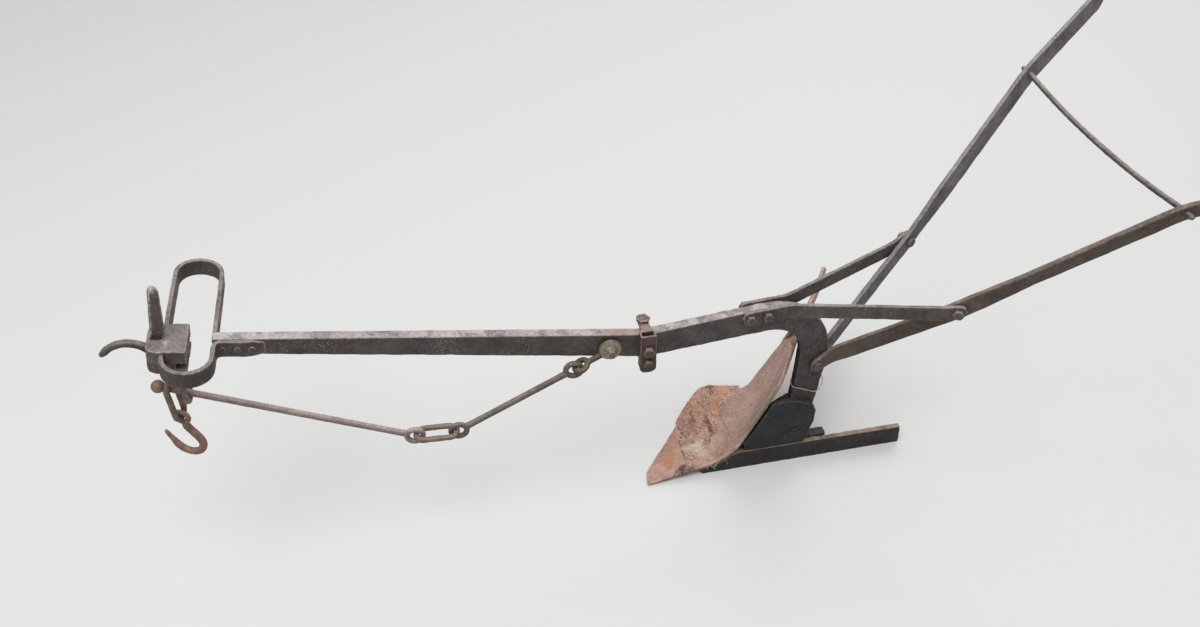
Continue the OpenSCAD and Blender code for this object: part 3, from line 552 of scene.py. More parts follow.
grey_finish = iron("grey_finish", (104, 98, 99), (116, 102, 97), (156, 150, 149), (146, 138, 135), 0.4, 0.9,
                   0.55, specks=0.5)
brown_finish = iron("brown_finish", (84, 73, 66), (112, 82, 66), (150, 138, 128), (136, 120, 108), 0.55, 0.9,
                    0.6, specks=0.5)
for side, name, finish in ((-1, "near", brown_finish), (1, "far", grey_finish)):
    piece(name + "_handle_bar", handle_shape(side), finish, "plough", [name + "_handle"],
          0.35 * mm, 38 * mm)

# Braces: flat iron bars that stiffen the handles. Each is bolted to the beam, bent outwards and bent again,
# to lie on the outside of its handle, where one bolt holds both.

brace_t, brace_d = 8 * mm, 32 * mm
brace_bolt = np.array([-148, 428]) * mm
brace_bend = np.array([-66, 433]) * mm
brace_lap = np.array([32, 8]) * mm


def brace_shape(side):
    """The flat bar along its bent centre line, upright, with both ends rounded off in side view."""
    beside = mid_y + side * (bar_t / 2 + seat + brace_t / 2)
    outside = (handle_t + brace_t) / 2 + seat
    on_handle = handle_place(np.array([brace_joint - brace_lap, brace_joint]), side, outside)
    corners = np.concatenate([in_side_view(np.array([brace_bolt, brace_bend]), beside), on_handle])
    corners[0] += unit(corners[0] - corners[1]) * brace_d / 2
    corners[3] += unit(corners[3] - corners[2]) * brace_d / 2
    centre = eased(spread(corners, 3.5 * mm), 8)
    run = run_along(centre)
    across = unit(np.cross([0, 0, 1], np.gradient(centre, axis=0)))
    up = np.tile([0.0, 0.0, 1.0], (len(centre), 1))
    half_d = brace_d / 2 * rounded_off(np.minimum(run, run[-1] - run), brace_d / 2)
    return skin(bar_rings(centre, across, up, brace_t / 2, half_d, np.minimum(2.2 * mm, 0.9 * half_d)))


brace_finish = iron("brace_finish", (84, 76, 73), (112, 90, 79), (152, 142, 139), (136, 123, 117), 0.45, 0.9,
                    0.55, specks=0.5)
for side, name in ((-1, "near"), (1, "far")):
    piece(name + "_brace_bar", brace_shape(side), brace_finish, "plough", [name + "_brace"],
          0.4 * mm, 30 * mm)

# Stretcher: a round iron rod that keeps the handles apart. It sags between them, and its straight ends pass
# through both bars and stand out a little.

stretcher_d = 10 * mm


def full_turn(count):
    """Angles of a full turn in even steps."""
    return np.linspace(0, 2 * np.pi, count, endpoint=False)


def round_rings(path, radius, normal, sides=18, loop=False):
    """Rings of a round bar along a path in a plane with the given normal; radius may change along it."""
    radius = np.broadcast_to(np.asarray(radius, float), len(path))
    way = unit(np.roll(path, -1, 0) - np.roll(path, 1, 0) if loop else np.gradient(path, axis=0))
    across = unit(np.cross(way, normal))
    lift = np.cross(across, way)
    a = full_turn(sides)
    turn = np.cos(a)[None, :, None] * across[:, None] + np.sin(a)[None, :, None] * lift[:, None]
    return path[:, None] + radius[:, None, None] * turn


def bent(steps, step=2.5 * mm):
    """Line in two dimensions that starts along X: each step is a length, then a bend in degrees and its
    radius."""
    at, heading, points = np.zeros(2), 0.0, [np.zeros((1, 2))]
    for length, bend, radius in steps:
        way = np.array([math.cos(heading), math.sin(heading)])
        count = max(int(length / step), 1)
        points.append(at + np.outer(np.linspace(0, length, count + 1)[1:], way))
        at = at + length * way
        if bend:
            turn = math.radians(bend)
            centre = at + math.copysign(radius, bend) * np.array([-way[1], way[0]])
            a = np.linspace(0, turn, max(int(abs(turn) * radius / step), 4) + 1)[1:]
            arm = at - centre
            points.append(centre + np.stack([np.cos(a) * arm[0] - np.sin(a) * arm[1],
                                             np.sin(a) * arm[0] + np.cos(a) * arm[1]], -1))
            at = points[-1][-1]
            heading += turn
    return np.concatenate(points)


def in_plane(points, origin, x_way, y_way):
    """Points of a plane (x, y) put in space by its origin and two directions."""
    return np.asarray(origin) + points[:, :1] * np.asarray(x_way) + points[:, 1:2] * np.asarray(y_way)


half_span = handle_place(np.array([stretcher_joint]), 1, -handle_t)[0][1] - mid_y
stretcher_x = handle_place(np.array([stretcher_joint]), 1)[0][0]
stick_out = 3 * handle_t
sag_angle = 7
small_bend = 18 * mm
straight = 2 * mm
sag_r = half_span / math.sin(math.radians(sag_angle)) - small_bend
line = bent([(stick_out, -sag_angle, small_bend), (straight, 2 * sag_angle, sag_r),
             (straight, -sag_angle, small_bend), (stick_out, 0, 0)], 5 * mm)
path = in_plane(line, (stretcher_x, mid_y - half_span - stick_out, stretcher_joint[1]), (0, 1, 0), (0, 0, 1))
rod_ends = np.ones(len(path))
rod_ends[[0, -1]] = 0.6
piece("stretcher_rod", skin(round_rings(path, stretcher_d / 2 * rod_ends, (1, 0, 0))), brace_finish, "plough",
      ["stretcher"], 0.3 * mm, 26 * mm)

# Hake ring: one flat strap, riveted to the near side of the beam, bent out and round into a long ring across
# the beam's nose, and forge-welded to the beam on its far side.

ring_w, ring_l, ring_near = 88 * mm, 322 * mm, 98 * mm
strap_t, strap_h = 8 * mm, 34 * mm
nose = np.array([front_end[0], mid_y, front_end[1]])
nose_x = np.array([math.cos(nose_up), 0, -math.sin(nose_up)])
nose_z = np.array([math.sin(nose_up), 0, math.cos(nose_up)])


def at_nose(points):
    """Points (along the beam, across, square to both) measured from the beam's front end."""
    points = np.asarray(points, float)
    return nose + points[..., :1] * nose_x + points[..., 1:2] * np.array([0, 1, 0]) + points[..., 2:] * nose_z


def ring_line():
    """The strap's middle line in the ring's plane: the lap, the bend outwards, the near bow, the front side,
    the far bow, and the rear side back to the beam."""
    rear, bow = strap_t / 2, (ring_w - strap_t) / 2
    near_c, far_c = (rear - bow, -ring_near + ring_w / 2), (rear - bow, ring_l - ring_near - ring_w / 2)
    lap_y = -bar_t / 2 - strap_t / 2
    out_r = 12 * mm
    parts = [[(88 * mm, lap_y)], arc_points((rear + out_r, lap_y - out_r), out_r, 90, 180, 8),
             arc_points(near_c, bow, 0, -180, 40), arc_points(far_c, bow, 180, 0, 40), [(rear, bar_t / 2)]]
    return spread(np.concatenate(parts), 4 * mm)


line = eased(ring_line(), 2)
way = unit(np.gradient(line, axis=0))
across = np.stack([way[:, 1], -way[:, 0]], -1)
flat = np.zeros((len(line), 1))
# The lap is hammered thin and narrow towards its end
from_lap = run_along(line)
thin = 0.34 + 0.66 * np.clip(from_lap / (34 * mm), 0, 1)
narrow = 0.74 + 0.26 * np.clip(from_lap / (20 * mm), 0, 1)
line[:, 1] += (1 - thin) * strap_t / 2
rings = bar_rings(at_nose(np.c_[line, flat]), at_nose(np.c_[across, flat]) - nose,
                  np.tile(nose_z, (len(line), 1)), strap_t / 2 * thin, strap_h / 2 * narrow,
                  np.minimum(2 * mm, 0.9 * strap_t / 2 * thin))
hake_finish = iron("hake_finish", (78, 70, 67), (104, 86, 76), (152, 143, 136), (138, 127, 120), 0.4, 0.9,
                   0.7)
piece("hake_strap", skin(rings), hake_finish, "plough", ["hake_ring"], 0.26 * mm, 34 * mm)

# Rivets: three iron rivets hold the strap's lap on the beam. Their heads are low domes, hammered almost
# flush; here the dome's foot stands a little inside the strap.


def joined(*skins):
    """One set of points and quads from several."""
    starts = np.cumsum([0] + [len(points) for points, _ in skins])
    return np.concatenate([s[0] for s in skins]), np.concatenate([s[1] + k for s, k in zip(skins, starts)])


dome_reach = np.array([6.4, 6.2, 4.8, 2.5, 0.4])[:, None] * mm
dome_lift = np.array([-4.0, 0.1, 0.8, 1.2, 1.3])[:, None] * mm
a = full_turn(16)
rivets = []
for along in (18 * mm, 42 * mm, 66 * mm):
    out = np.repeat(-bar_t / 2 - strap_t - dome_lift, len(a), 1)
    rivets.append(skin(at_nose(np.stack([along + dome_reach * np.cos(a), out, dome_reach * np.sin(a)], -1))))
piece("lap_rivets", joined(*rivets), hake_finish, "plough", (), 0.2 * mm, 8 * mm)

# Wedge: a tapered iron bar driven down through the head in front of the strap, to hold the head where it is
# set. It stands twisted over the head, and hammer blows have spread its top and left it bright.

head_y = mid_y - 12 * mm
wedge_t, wedge_foot, wedge_len = 9 * mm, -32 * mm, 163 * mm
wedge_twist = 24
strap_front = strap_t - ring_w
levels = np.linspace(0, 1, 46)
lead = strap_front + np.interp(levels, [0, 0.41, 0.94, 1], [-15.2, -15.2, -13, -9.5]) * mm
tail = strap_front + np.interp(levels, [0, 0.35, 0.39, 0.93, 1], [-0.8, -0.8, 7, 4, -2]) * mm
z = wedge_foot + levels * wedge_len
middle = at_nose(np.stack([(lead + tail) / 2, np.full(len(z), head_y - mid_y), z], -1))
above_head = np.clip((z - 26 * mm) / (20 * mm), 0, 1)
swell = 1 + 0.12 * above_head * (1 - levels) + 0.12 * np.clip((levels - 0.93) / 0.05, 0, 1)
twist = np.radians(wedge_twist) * above_head[:, None]
flat_way = np.cos(twist) * nose_x + np.sin(twist) * np.array([0, 1, 0])
thick_way = np.cos(twist) * np.array([0, 1, 0]) - np.sin(twist) * nose_x
rings = bar_rings(middle, thick_way, flat_way, wedge_t / 2 * swell, (tail - lead) / 2 * swell, 2.4 * mm)
# The second stain is painted shade where the wedge goes into the head
wedge_finish = iron("wedge_finish", (100, 88, 82), (118, 98, 86), (150, 142, 136), (170, 160, 154), 0.35, 0.6,
                    0.9, stains=((206, 200, 196), (64, 56, 54), (120, 96, 80)))
wedge_piece = piece("wedge_bar", skin(rings), wedge_finish, "sliding_head", ["head_wedge"],
                    0.28 * mm, 26 * mm)
# Bare metal where the hammer struck the top; painted shade, darker down to where it stands in its slot
tinted(wedge_piece, lambda p: (0.4 * rise((p - nose) @ nose_z, 112 * mm, 128 * mm),
                               0.7 * rise((p - nose) @ nose_z, 46 * mm, 24 * mm), 0.0))

# Horn: a round iron hook, forged out of the head's front. It arches up and forward, and is drawn to a blunt
# point.

horn_r, horn_d = 45.5 * mm, 14 * mm
head_x0 = strap_front - 22.5 * mm
horn_c = (head_x0 - 31 * mm, -36 * mm)
line = arc_points(horn_c, horn_r, 42, 144, 30)
tip = line[-1] + np.outer(np.array([4, 8, 11, 12.5]) * mm, unit(line[-1] - line[-2]))
line = np.concatenate([line, tip])
path = at_nose(np.stack([line[:, 0], np.full(len(line), head_y - mid_y), line[:, 1]], -1))
radius = horn_d / 2 * np.r_[np.linspace(1.08, 0.92, 30), 0.85, 0.7, 0.5, 0.25]
piece("horn_bar", skin(round_rings(path, radius, (0, 1, 0))), hake_finish, "sliding_head",
      ["horn_hook"], 0.28 * mm, 22 * mm)

# Draught rods: two round iron rods with forged eyes. The rear one hangs from the shackle, and an oval link
# joins it to the front one, which runs over the staple's bar and ends in a rough knob.

wire_d, rod_d = 11.5 * mm, 12.5 * mm
eye_r = 15.5 * mm
link_play, ring_play, knee_play = 0.4 * mm, 0.9 * mm, 1.6 * mm
# Wires are a little thinner than the solids', so that their rough skins stay apart where they hang together
wire_r = wire_d / 2 - 0.25 * mm
rod_y = near_y - 11 * mm
eye_bolt_ahead = 73 * mm
beam_fall = math.tan(nose_up)
eye_bolt_at = np.array([clamp_at[0] - eye_bolt_ahead, clamp_at[1] + eye_bolt_ahead * beam_fall])
knee_at = np.array([-729, 247]) * mm
front_knee_at = knee_at + np.array([-85, 4]) * mm
shackle_run = unit(knee_at - eye_bolt_at)
ring_at = eye_bolt_at + shackle_run * (78 * mm - (wire_d + ring_play) / 2)
staple_ahead = 65 * mm
staple_bar = np.array([front_end[0] - staple_ahead, 429 * mm])
rods_turn = math.atan2(head_y - rod_y, ring_at[0] - staple_bar[0])
rods_normal = np.array([math.sin(rods_turn), math.cos(rods_turn), 0.0])


def at_rods(points):
    """Points (x, z) of the rods' upright plane put in space; the plane turns about the shackle's ring."""
    back = ring_at[0] - points[..., 0]
    return np.stack([ring_at[0] - back * math.cos(rods_turn), rod_y + back * math.sin(rods_turn),
                     points[..., 1]], -1)


def wire_loop(path, radius, normal):
    """Closed ring of round wire along a path."""
    return skin(round_rings(path, radius, normal, 16, True), True)


def eye_and_rod(start, end, eyes, width):
    """A rod between two points of the rods' plane, thickened like a weld where it meets its eyes."""
    length = np.linalg.norm(end - start)
    first, last = (eye_r if has else 0 for has in eyes)
    run = np.linspace(first, length - last, int(length / (6 * mm)))
    collar = 0 * run
    for has, past in zip(eyes, (run - eye_r, length - eye_r - run)):
        if has:
            collar = np.maximum(collar, np.exp(-np.maximum(past, 0) / (9 * mm)))
    line = at_rods(start + run[:, None] * unit(end - start))
    parts = [skin(round_rings(line, width / 2 * (1 + 0.1 * collar), rods_normal))]
    for has, centre in zip(eyes, (start, end)):
        if has:
            ring = centre + eye_r * np.stack([np.cos(full_turn(48)), np.sin(full_turn(48))], -1)
            parts.append(wire_loop(at_rods(ring), wire_r, rods_normal))
    return joined(*parts)


rear_eye_at = ring_at + shackle_run * (eye_r - (wire_d + ring_play) / 2)
rod_finish = iron("rod_finish", (128, 111, 107), (148, 116, 104), (176, 162, 156), (166, 152, 146), 0.5, 0.8,
                  0.6, grain=1.4, specks=0.5, stains=((136, 100, 82), (88, 74, 68), (170, 128, 112)))
rear_rod_finish = iron("rear_rod_finish", (98, 87, 81), (118, 95, 84), (142, 130, 122), (134, 120, 110), 0.5,
                       0.7, 0.5, grain=1.4)
piece("rear_rod_bar", eye_and_rod(rear_eye_at, knee_at, (1, 1), rod_d), rear_rod_finish, "rear_draught",
      ["rear_rod"], 0.16 * mm, 26 * mm)

bar_at = np.array([ring_at[0] - math.hypot(ring_at[0] - staple_bar[0], head_y - rod_y), staple_bar[1]])
rod_on_bar = wire_d / 2 + rod_d / 2 + seat
bar_span = np.linalg.norm(bar_at - front_knee_at)
rod_rise = (math.atan2(bar_at[1] - front_knee_at[1], front_knee_at[0] - bar_at[0])
            + math.asin(rod_on_bar / bar_span))
rod_run = np.array([-math.cos(rod_rise), math.sin(rod_rise)])
link_run = math.sqrt(bar_span ** 2 - rod_on_bar ** 2) + 34 * mm
knob_run = link_run + 21.5 * mm
knob_r = 12 * mm
rod_shape = eye_and_rod(front_knee_at, front_knee_at + rod_run * knob_run, (1, 0), rod_d)
turns = np.radians(np.linspace(-88, 88, 18))
knob_line = at_rods(front_knee_at + (knob_run + knob_r * np.sin(turns))[:, None] * rod_run)
knob = skin(round_rings(knob_line, knob_r * np.cos(turns), rods_normal, 24))
rod_piece = piece("front_rod_bar", joined(rod_shape, knob), rod_finish, "front_draught",
                  ["front_rod"], 0.18 * mm, 22 * mm)
# Brown rust on the knob, a redder stretch behind the staple
tinted(rod_piece, lambda p: (0.6 * rise(p[:, 0], -1.195, -1.215), 0.0,
                             0.35 * rise(p[:, 0], -1.19, -1.18) * rise(p[:, 0], -1.13, -1.16)))


def oval_ring(length, radius):
    """Middle line of an oval link in its own plane: two half circles of the radius, length apart."""
    first = arc_points((0, 0), radius, 90, 270, 24)
    second = arc_points((length, 0), radius, -90, 90, 24)
    return spread(np.concatenate([first, second, first[:1]]), 3 * mm)[:-1]


link_finish = iron("link_finish", (108, 91, 82), (138, 102, 84), (156, 138, 128), (146, 128, 118), 0.5, 0.6,
                   0.5, grain=1.5)
knee_span = np.linalg.norm(front_knee_at - knee_at)
knee_way = (front_knee_at - knee_at) / knee_span
inset = 2 * eye_r - wire_d - link_play
front_inset = 2 * eye_r - wire_d - knee_play
link_way = at_rods(knee_at + knee_way) - at_rods(knee_at)
line = oval_ring(knee_span - inset - front_inset, eye_r)
path = in_plane(line, at_rods(knee_at + knee_way * inset), link_way, rods_normal)
piece("middle_link_ring", wire_loop(path, wire_d / 2, np.cross(link_way, rods_normal)), link_finish,
      "rear_draught", ["middle_link"], 0.4 * mm, 18 * mm)

# Staple: an iron bar bent square, with its two ends welded under the head. The front rod passes through it
# and lies on its bottom, so that the rods follow the head.

staple_half, staple_bend = 15 * mm, 10 * mm
staple_top = front_end[1] + staple_ahead * beam_fall - strap_h / 2 - 3 * mm
leg = staple_top - staple_bar[1] - staple_bend
line = bent([(leg, 90, staple_bend), (2 * (staple_half - staple_bend), 90, staple_bend), (leg, 0, 0)])
path = in_plane(line, (staple_bar[0], head_y - staple_half, staple_top), (0, 0, -1), (0, 1, 0))
piece("staple_bar", skin(round_rings(path, wire_d / 2, (1, 0, 0))), link_finish, "sliding_head",
      ["head_staple"], 0.35 * mm, 18 * mm)

# Hanging link and hook: a long oval link hung over the front rod behind its knob, and in its lower bow the
# open draught hook, forged with an eye that stands square to the link.

link_r, link_len = 14 * mm, 57 * mm
hang_turn = math.radians(22)
bow_play = 1.2 * mm
link_turn = hang_turn + rods_turn
link_slant = math.cos(rod_rise) * math.sin(hang_turn)
link_rise = ((wire_d / 2 + rod_d / 2 + bow_play) * math.sqrt(1 - link_slant ** 2)
             / math.cos(rod_rise) / math.cos(hang_turn))
link_at = at_rods(front_knee_at + rod_run * link_run)
link_wide = np.array([math.sin(link_turn), math.cos(link_turn), 0])
link_back = np.array([math.cos(link_turn), -math.sin(link_turn), 0])
upright_way = np.array([0, 0, 1])
upper_bow = link_at + upright_way * (link_rise - link_r)
path = in_plane(oval_ring(link_len, link_r), upper_bow, -upright_way, link_wide)
piece("hanging_link_ring", wire_loop(path, wire_r, link_back), link_finish, "swing_link",
      ["hanging_link"], 0.2 * mm, 16 * mm)

hook_d, hook_r = 14 * mm, 29 * mm
hook_eye_r, hook_eye_d = 12 * mm, 10 * mm
hang_lean = math.radians(9.4)
down = -math.cos(hang_lean) * upright_way + math.sin(hang_lean) * link_back
aside = math.cos(hang_lean) * link_back + math.sin(hang_lean) * upright_way
hook_pin = link_at + upright_way * (link_rise - 2 * link_r - link_len)
hook_eye = hook_pin + down * (hook_eye_r - wire_d / 2 - hook_eye_d / 2 - link_play)
line = bent([(8 * mm, 25, 20 * mm), (22 * mm, -190, hook_r), (34 * mm, 0, 0)])
path = in_plane(line, hook_eye + down * hook_eye_r, down, aside)
radius = hook_d / 2 * np.interp(np.linspace(0, 1, len(path)), [0, 0.05, 0.3, 0.78, 0.97, 1],
                                [0.8, 1, 1.02, 0.95, 0.5, 0.3])
a = full_turn(44)
ring = hook_eye + hook_eye_r * (np.cos(a)[:, None] * down + np.sin(a)[:, None] * aside)
hook_finish = iron("hook_finish", (124, 98, 84), (150, 106, 82), (170, 144, 128), (158, 134, 120), 0.5, 0.45,
                   0.5)
hook_shape = joined(skin(round_rings(path, radius, link_wide)), wire_loop(ring, hook_eye_d / 2, link_wide))
piece("draught_hook_bar", hook_shape, hook_finish, "swing_hook", ["draught_hook"], 0.45 * mm,
      20 * mm)

# Sliding head: an iron bent round the front of the hake ring. It and the other forged blocks below are made
# from their solids, rebuilt as even fine meshes, so that hammering, wear and the painted edge highlight can
# show on softened edges.

head_half, head_round = 38 * mm, 19 * mm


def forged(node, finish, body, cell, soften=4, rough=0.4 * mm, grain=20 * mm, reshape=None):
    """Piece from a solid: its mesh is merged, rebuilt with even cells, smoothed at the edges, reshaped by the
    function given, and roughened."""
    work = bpy.data.objects.new(node + "_work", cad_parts[node].data.copy())
    bpy.context.scene.collection.objects.link(work)
    weld = work.modifiers.new("weld", "WELD")
    weld.merge_threshold = 1e-5
    cells = work.modifiers.new("cells", "REMESH")
    cells.mode = "VOXEL"
    cells.voxel_size = cell
    cells.use_smooth_shade = True
    ease = work.modifiers.new("ease", "SMOOTH")
    ease.iterations = soften
    ease.factor = 0.5
    view = bpy.context.evaluated_depsgraph_get()
    made = bpy.data.meshes.new_from_object(work.evaluated_get(view))
    bpy.data.objects.remove(work)
    made.materials.clear()
    made.polygons.foreach_set("use_smooth", np.ones(len(made.polygons), bool))
    if reshape:
        made.vertices.foreach_set("co", reshape(read_points(made)).ravel())
        made.update()
    return dressed(node + "_forged", made, finish, body, [node], rough, grain)


def drawn_round(a, b):
    """Factor that draws the points of a square corner in to a rounding: a and b are the distances past the
    rounding's centre, and the larger of them becomes the length."""
    both = (a > 0) & (b > 0)
    return np.where(both, np.maximum(a, b) / np.maximum(np.hypot(a, b), 1e-9), 1.0)


def bent_head(points):
    """The head's front is an iron bent round the ring: its upright front corners are rounded off."""
    y = points[:, 1] - head_y
    a = head_x0 + head_round - (points - nose) @ nose_x
    b = np.abs(y) - (head_half - head_round)
    k = drawn_round(a, b)
    moved = ((1 - k) * a)[:, None] * nose_x
    moved[:, 1] -= (1 - k) * b * np.sign(y)
    return points + moved


def head_tint(p):
    """A scraped bright patch on top beside the wedge; painted shade that darkens the sides downwards."""
    back, height = (p - nose) @ nose_x - strap_front - 8 * mm, (p - nose) @ nose_z
    patch = np.exp(-(back / (9 * mm)) ** 2 - ((p[:, 1] - head_y + 12 * mm) / (13 * mm)) ** 2)
    return 0.5 * patch * rise(height, 18 * mm, 21 * mm), 0.5 * rise(height, 14 * mm, -12 * mm), 0.0


# The second stain is painted shade down the head's sides
head_finish = iron("head_finish", (96, 86, 84), (116, 97, 90), (144, 134, 131), (154, 144, 139), 0.35, 0.8,
                   0.7, stains=((216, 212, 208), (60, 53, 52), (120, 96, 80)))
head_piece = forged("head", head_finish, "sliding_head", 1.3 * mm, 5, reshape=bent_head)
tinted(head_piece, head_tint)

# Shackle and eye bolt: the bolt goes through the beam, and the forged shackle hangs on its near end. The
# flat eye there is beaten into a dome towards the nut; the ring below carries the rear draught rod.

eye_disc_r, dome_high = 22.3 * mm, 5.4 * mm


def domed_eye(points):
    """The shackle's flat eye is beaten into a dome towards the nut."""
    points = points.copy()
    reach = np.linalg.norm(points[:, [0, 2]] - eye_bolt_at, axis=1) / eye_disc_r
    near = rod_y - 0.4 * mm - dome_high * np.sqrt(np.clip(1 - reach ** 2, 0, 1))
    on_disc = (reach < 1) & (points[:, 1] < rod_y - 2 * mm)
    points[:, 1] = np.where(on_disc, np.maximum(points[:, 1], near), points[:, 1])
    return points


def shackle_tint(p):
    """Pale scale on the domed eye."""
    return 0.72 * rise(np.linalg.norm(p[:, [0, 2]] - eye_bolt_at, axis=1), 25 * mm, 20 * mm), 0.0, 0.0


def smaller_heads(places, across, lift, sides):
    """Reshapes bolts so that their heads and nuts are a share of the width and stand less far out. Places are
    their axes (x, z), sides the faces that they stand on, each with the way out; the hidden shanks stay."""
    def reshape(points):
        points = points.copy()
        flat = points[:, [0, 2]]
        nearest = places[np.argmin(np.linalg.norm(flat[:, None] - places[None], axis=-1), axis=1)]
        for face, way in sides:
            out = rise((points[:, 1] - face) * way, -0.5 * mm, 0.5 * mm)[:, None]
            flat = flat * (1 - out) + out * (nearest + (flat - nearest) * across)
            points[:, 1] -= way * np.maximum((points[:, 1] - face) * way, 0) * (1 - lift)
        points[:, 0], points[:, 2] = flat.T
        return points
    return reshape


shackle_finish = iron("shackle_finish", (84, 75, 62), (100, 82, 62), (134, 120, 102), (128, 114, 96), 0.5,
                      0.6, 0.5, stains=((142, 130, 114), (60, 52, 50), (110, 90, 70)))
washer_finish = iron("washer_finish", (116, 106, 92), (108, 94, 72), (160, 148, 132), (164, 154, 140), 0.5,
                     0.6, 0.7)
shackle_piece = forged("shackle", shackle_finish, "plough", 1.2 * mm, 4, 0.18 * mm,
                       reshape=domed_eye)
tinted(shackle_piece, shackle_tint)
forged("eye_bolt", washer_finish, "plough", 1.1 * mm, 4, 0.3 * mm,
       reshape=smaller_heads(eye_bolt_at[None], 0.68, 0.9, ((rod_y - dome_high, -1), (far_y, 1))))

# Coulter clamp and its bolts: a forged socket on the near side of the beam, empty now, with a strap over the
# beam and one under it. A long bolt behind the beam draws them tight; two set bolts go into the socket.

socket_flat, socket_round_z = 4 * mm, 351 * mm
bolt_top = 432.9 * mm


def tapered_clamp(points):
    """The socket's lower end is rounded off, seen from the side, and the straps over and under the beam are
    narrower than it."""
    points = points.copy()
    x = points[:, 0] - clamp_at[0]
    a, b = np.abs(x) - socket_flat, socket_round_z - points[:, 2]
    k = drawn_round(a, b)
    narrower = 1 - 0.38 * rise(points[:, 1], near_y - 2 * mm, near_y + 6 * mm)
    points[:, 0] = clamp_at[0] + np.sign(x) * (socket_flat + a * k) * narrower
    points[:, 2] = socket_round_z - b * k
    return points


def lower_bolt(points):
    """The long bolt behind the beam stands close to it, and its nut over the beam is thin."""
    points = points.copy()
    points[:, 1] -= 4.4 * mm * rise(points[:, 1], far_y - 2 * mm, far_y + 1 * mm)
    points[:, 2] -= 0.4 * np.maximum(points[:, 2] - bolt_top, 0)
    return points


# The second stain is painted shade at the socket's foot under the beam
clamp_finish = iron("clamp_finish", (84, 67, 65), (110, 84, 74), (156, 134, 126), (142, 120, 111), 0.5, 0.8,
                    0.6, stains=((74, 68, 50), (60, 48, 56), (120, 96, 80)))
clamp_piece = forged("coulter_clamp", clamp_finish, "plough", 1.2 * mm, 5,
                     reshape=tapered_clamp)
clamp_bolt_piece = forged("clamp_bolts", clamp_finish, "plough", 1.1 * mm, 4, 0.3 * mm,
                          reshape=lower_bolt)
# Olive below the beam; purple-black at the socket's foot under the beam, painted shade
for made in (clamp_piece, clamp_bolt_piece):
    tinted(made, lambda p: (0.55 * rise(p[:, 2], 400 * mm, 385 * mm),
                            0.6 * rise(p[:, 2], 372 * mm, 355 * mm), 0.0))

# Frog, its plate, landside bar and stay: the iron that carries the sheets. The plate joins frog and standard
# on the land side, the bar slides along the furrow's wall, and the stay holds the moldboard's back.

black_finish = iron("black_finish", (47, 45, 48), (68, 57, 52), (88, 80, 76), (88, 80, 78), 0.5, 0.5, 0.6,
                    specks=0.5)
landside_finish = iron("landside_finish", (49, 46, 48), (74, 61, 54), (148, 128, 114), (96, 84, 78), 0.5, 1.0,
                       0.5, specks=0.5)
forged("frog", black_finish, "plough", 2.0 * mm)
forged("frog_plate", black_finish, "plough", 1.4 * mm)
forged("landside_bar", landside_finish, "plough", 1.5 * mm, 4, 0.5 * mm, 34 * mm)
forged("moldboard_stay", black_finish, "plough", 1.5 * mm)

# Bolts: forged iron bolts with nuts, through beam, standard, handles, braces and frog. All but the two handle
# bolts get smaller and lower heads and nuts than their solids have.


def both_sides(out):
    """Faces at a distance out from the beam's middle plane, each with the way that it looks."""
    return (mid_y - out, -1), (mid_y + out, 1)


bolt_finish = iron("bolt_finish", (88, 79, 74), (114, 94, 80), (144, 133, 125), (138, 126, 117), 0.45, 0.6,
                   0.6)
brace_bolts_at = np.stack([brace_bolt, np.array([-114, 430]) * mm])
frog_bolts_at = np.array([[-6, 164], [-20, 88]]) * mm
on_brace = both_sides(bar_t / 2 + seat + brace_t)
on_foot = both_sides(bar_t / 2 + seat + handle_t)
on_plate = ((-5 * mm, -1),)
for node, finish, reshape in (
        ("near_handle_bolt", bolt_finish, None), ("far_handle_bolt", bolt_finish, None),
        ("brace_bolts", bolt_finish, smaller_heads(brace_bolts_at, 0.7, 0.85, on_brace)),
        ("foot_bolt", brace_finish, smaller_heads(foot_bolt[None], 0.72, 0.35, on_foot)),
        ("frog_bolts", black_finish, smaller_heads(frog_bolts_at, 0.8, 0.3, on_plate))):
    forged(node, finish, "plough", 1.1 * mm, 4, 0.3 * mm, 12 * mm, reshape)

# Share and moldboard: one hollow face. The share is the low wedge that cuts the slice, the moldboard the
# twisted plate that turns it; both are thin plate with blunt, worn rims.

furrow_w = 248
plate_t = 7 * mm
land_y = -6 * mm
# Columns in millimetres: x and z on the land side, then x, y and z on the furrow side, and the hollow
face_rows = np.array([
    [-350, 5, -342, 24, 5, 0],
    [-252, 20, -262, furrow_w * 0.5, 3, 3],
    [-190, 36, -190, furrow_w * 0.86, 3, 6],
    [-154, 66, -141, furrow_w, 4, 12],
    [-125, 125, -58, furrow_w - 18, 10, 18],
    [-98, 186, -12, furrow_w + 1, 42, 22],
    [-75, 240, 26, furrow_w + 12, 88, 20],
    [-66, 293, 62, furrow_w + 26, 124, 14],
    [-62, 345, 96, furrow_w + 40, 162, 6]], float) * mm
tail_top = np.array([104, furrow_w - 4, 329]) * mm
tail_low = np.array([148, furrow_w + 76, 260]) * mm
corner = len(face_rows) - 1
land_line = np.stack([face_rows[:, 0], np.full(corner + 1, land_y), face_rows[:, 1]], -1)
land_line[:2, 1] -= np.array([9, 2]) * mm
furrow_line = np.stack([face_rows[:, 2], face_rows[:, 3] + land_y, face_rows[:, 4]], -1)
land_line = np.concatenate([land_line, [np.array([-60, 40, 317]) * mm,
                                        np.array([26, furrow_w / 2 - 5, 342]) * mm, tail_top]])
furrow_line = np.concatenate([furrow_line, [furrow_line[corner] + (tail_low - furrow_line[corner]) * k
                                            for k in (0.12, 0.5, 1)]])
hollow = np.r_[face_rows[:, 5], 6 * mm, 10 * mm, 6 * mm]
hollow_way = np.array([0.55, 0, -0.83])
last_row = len(hollow) - 1
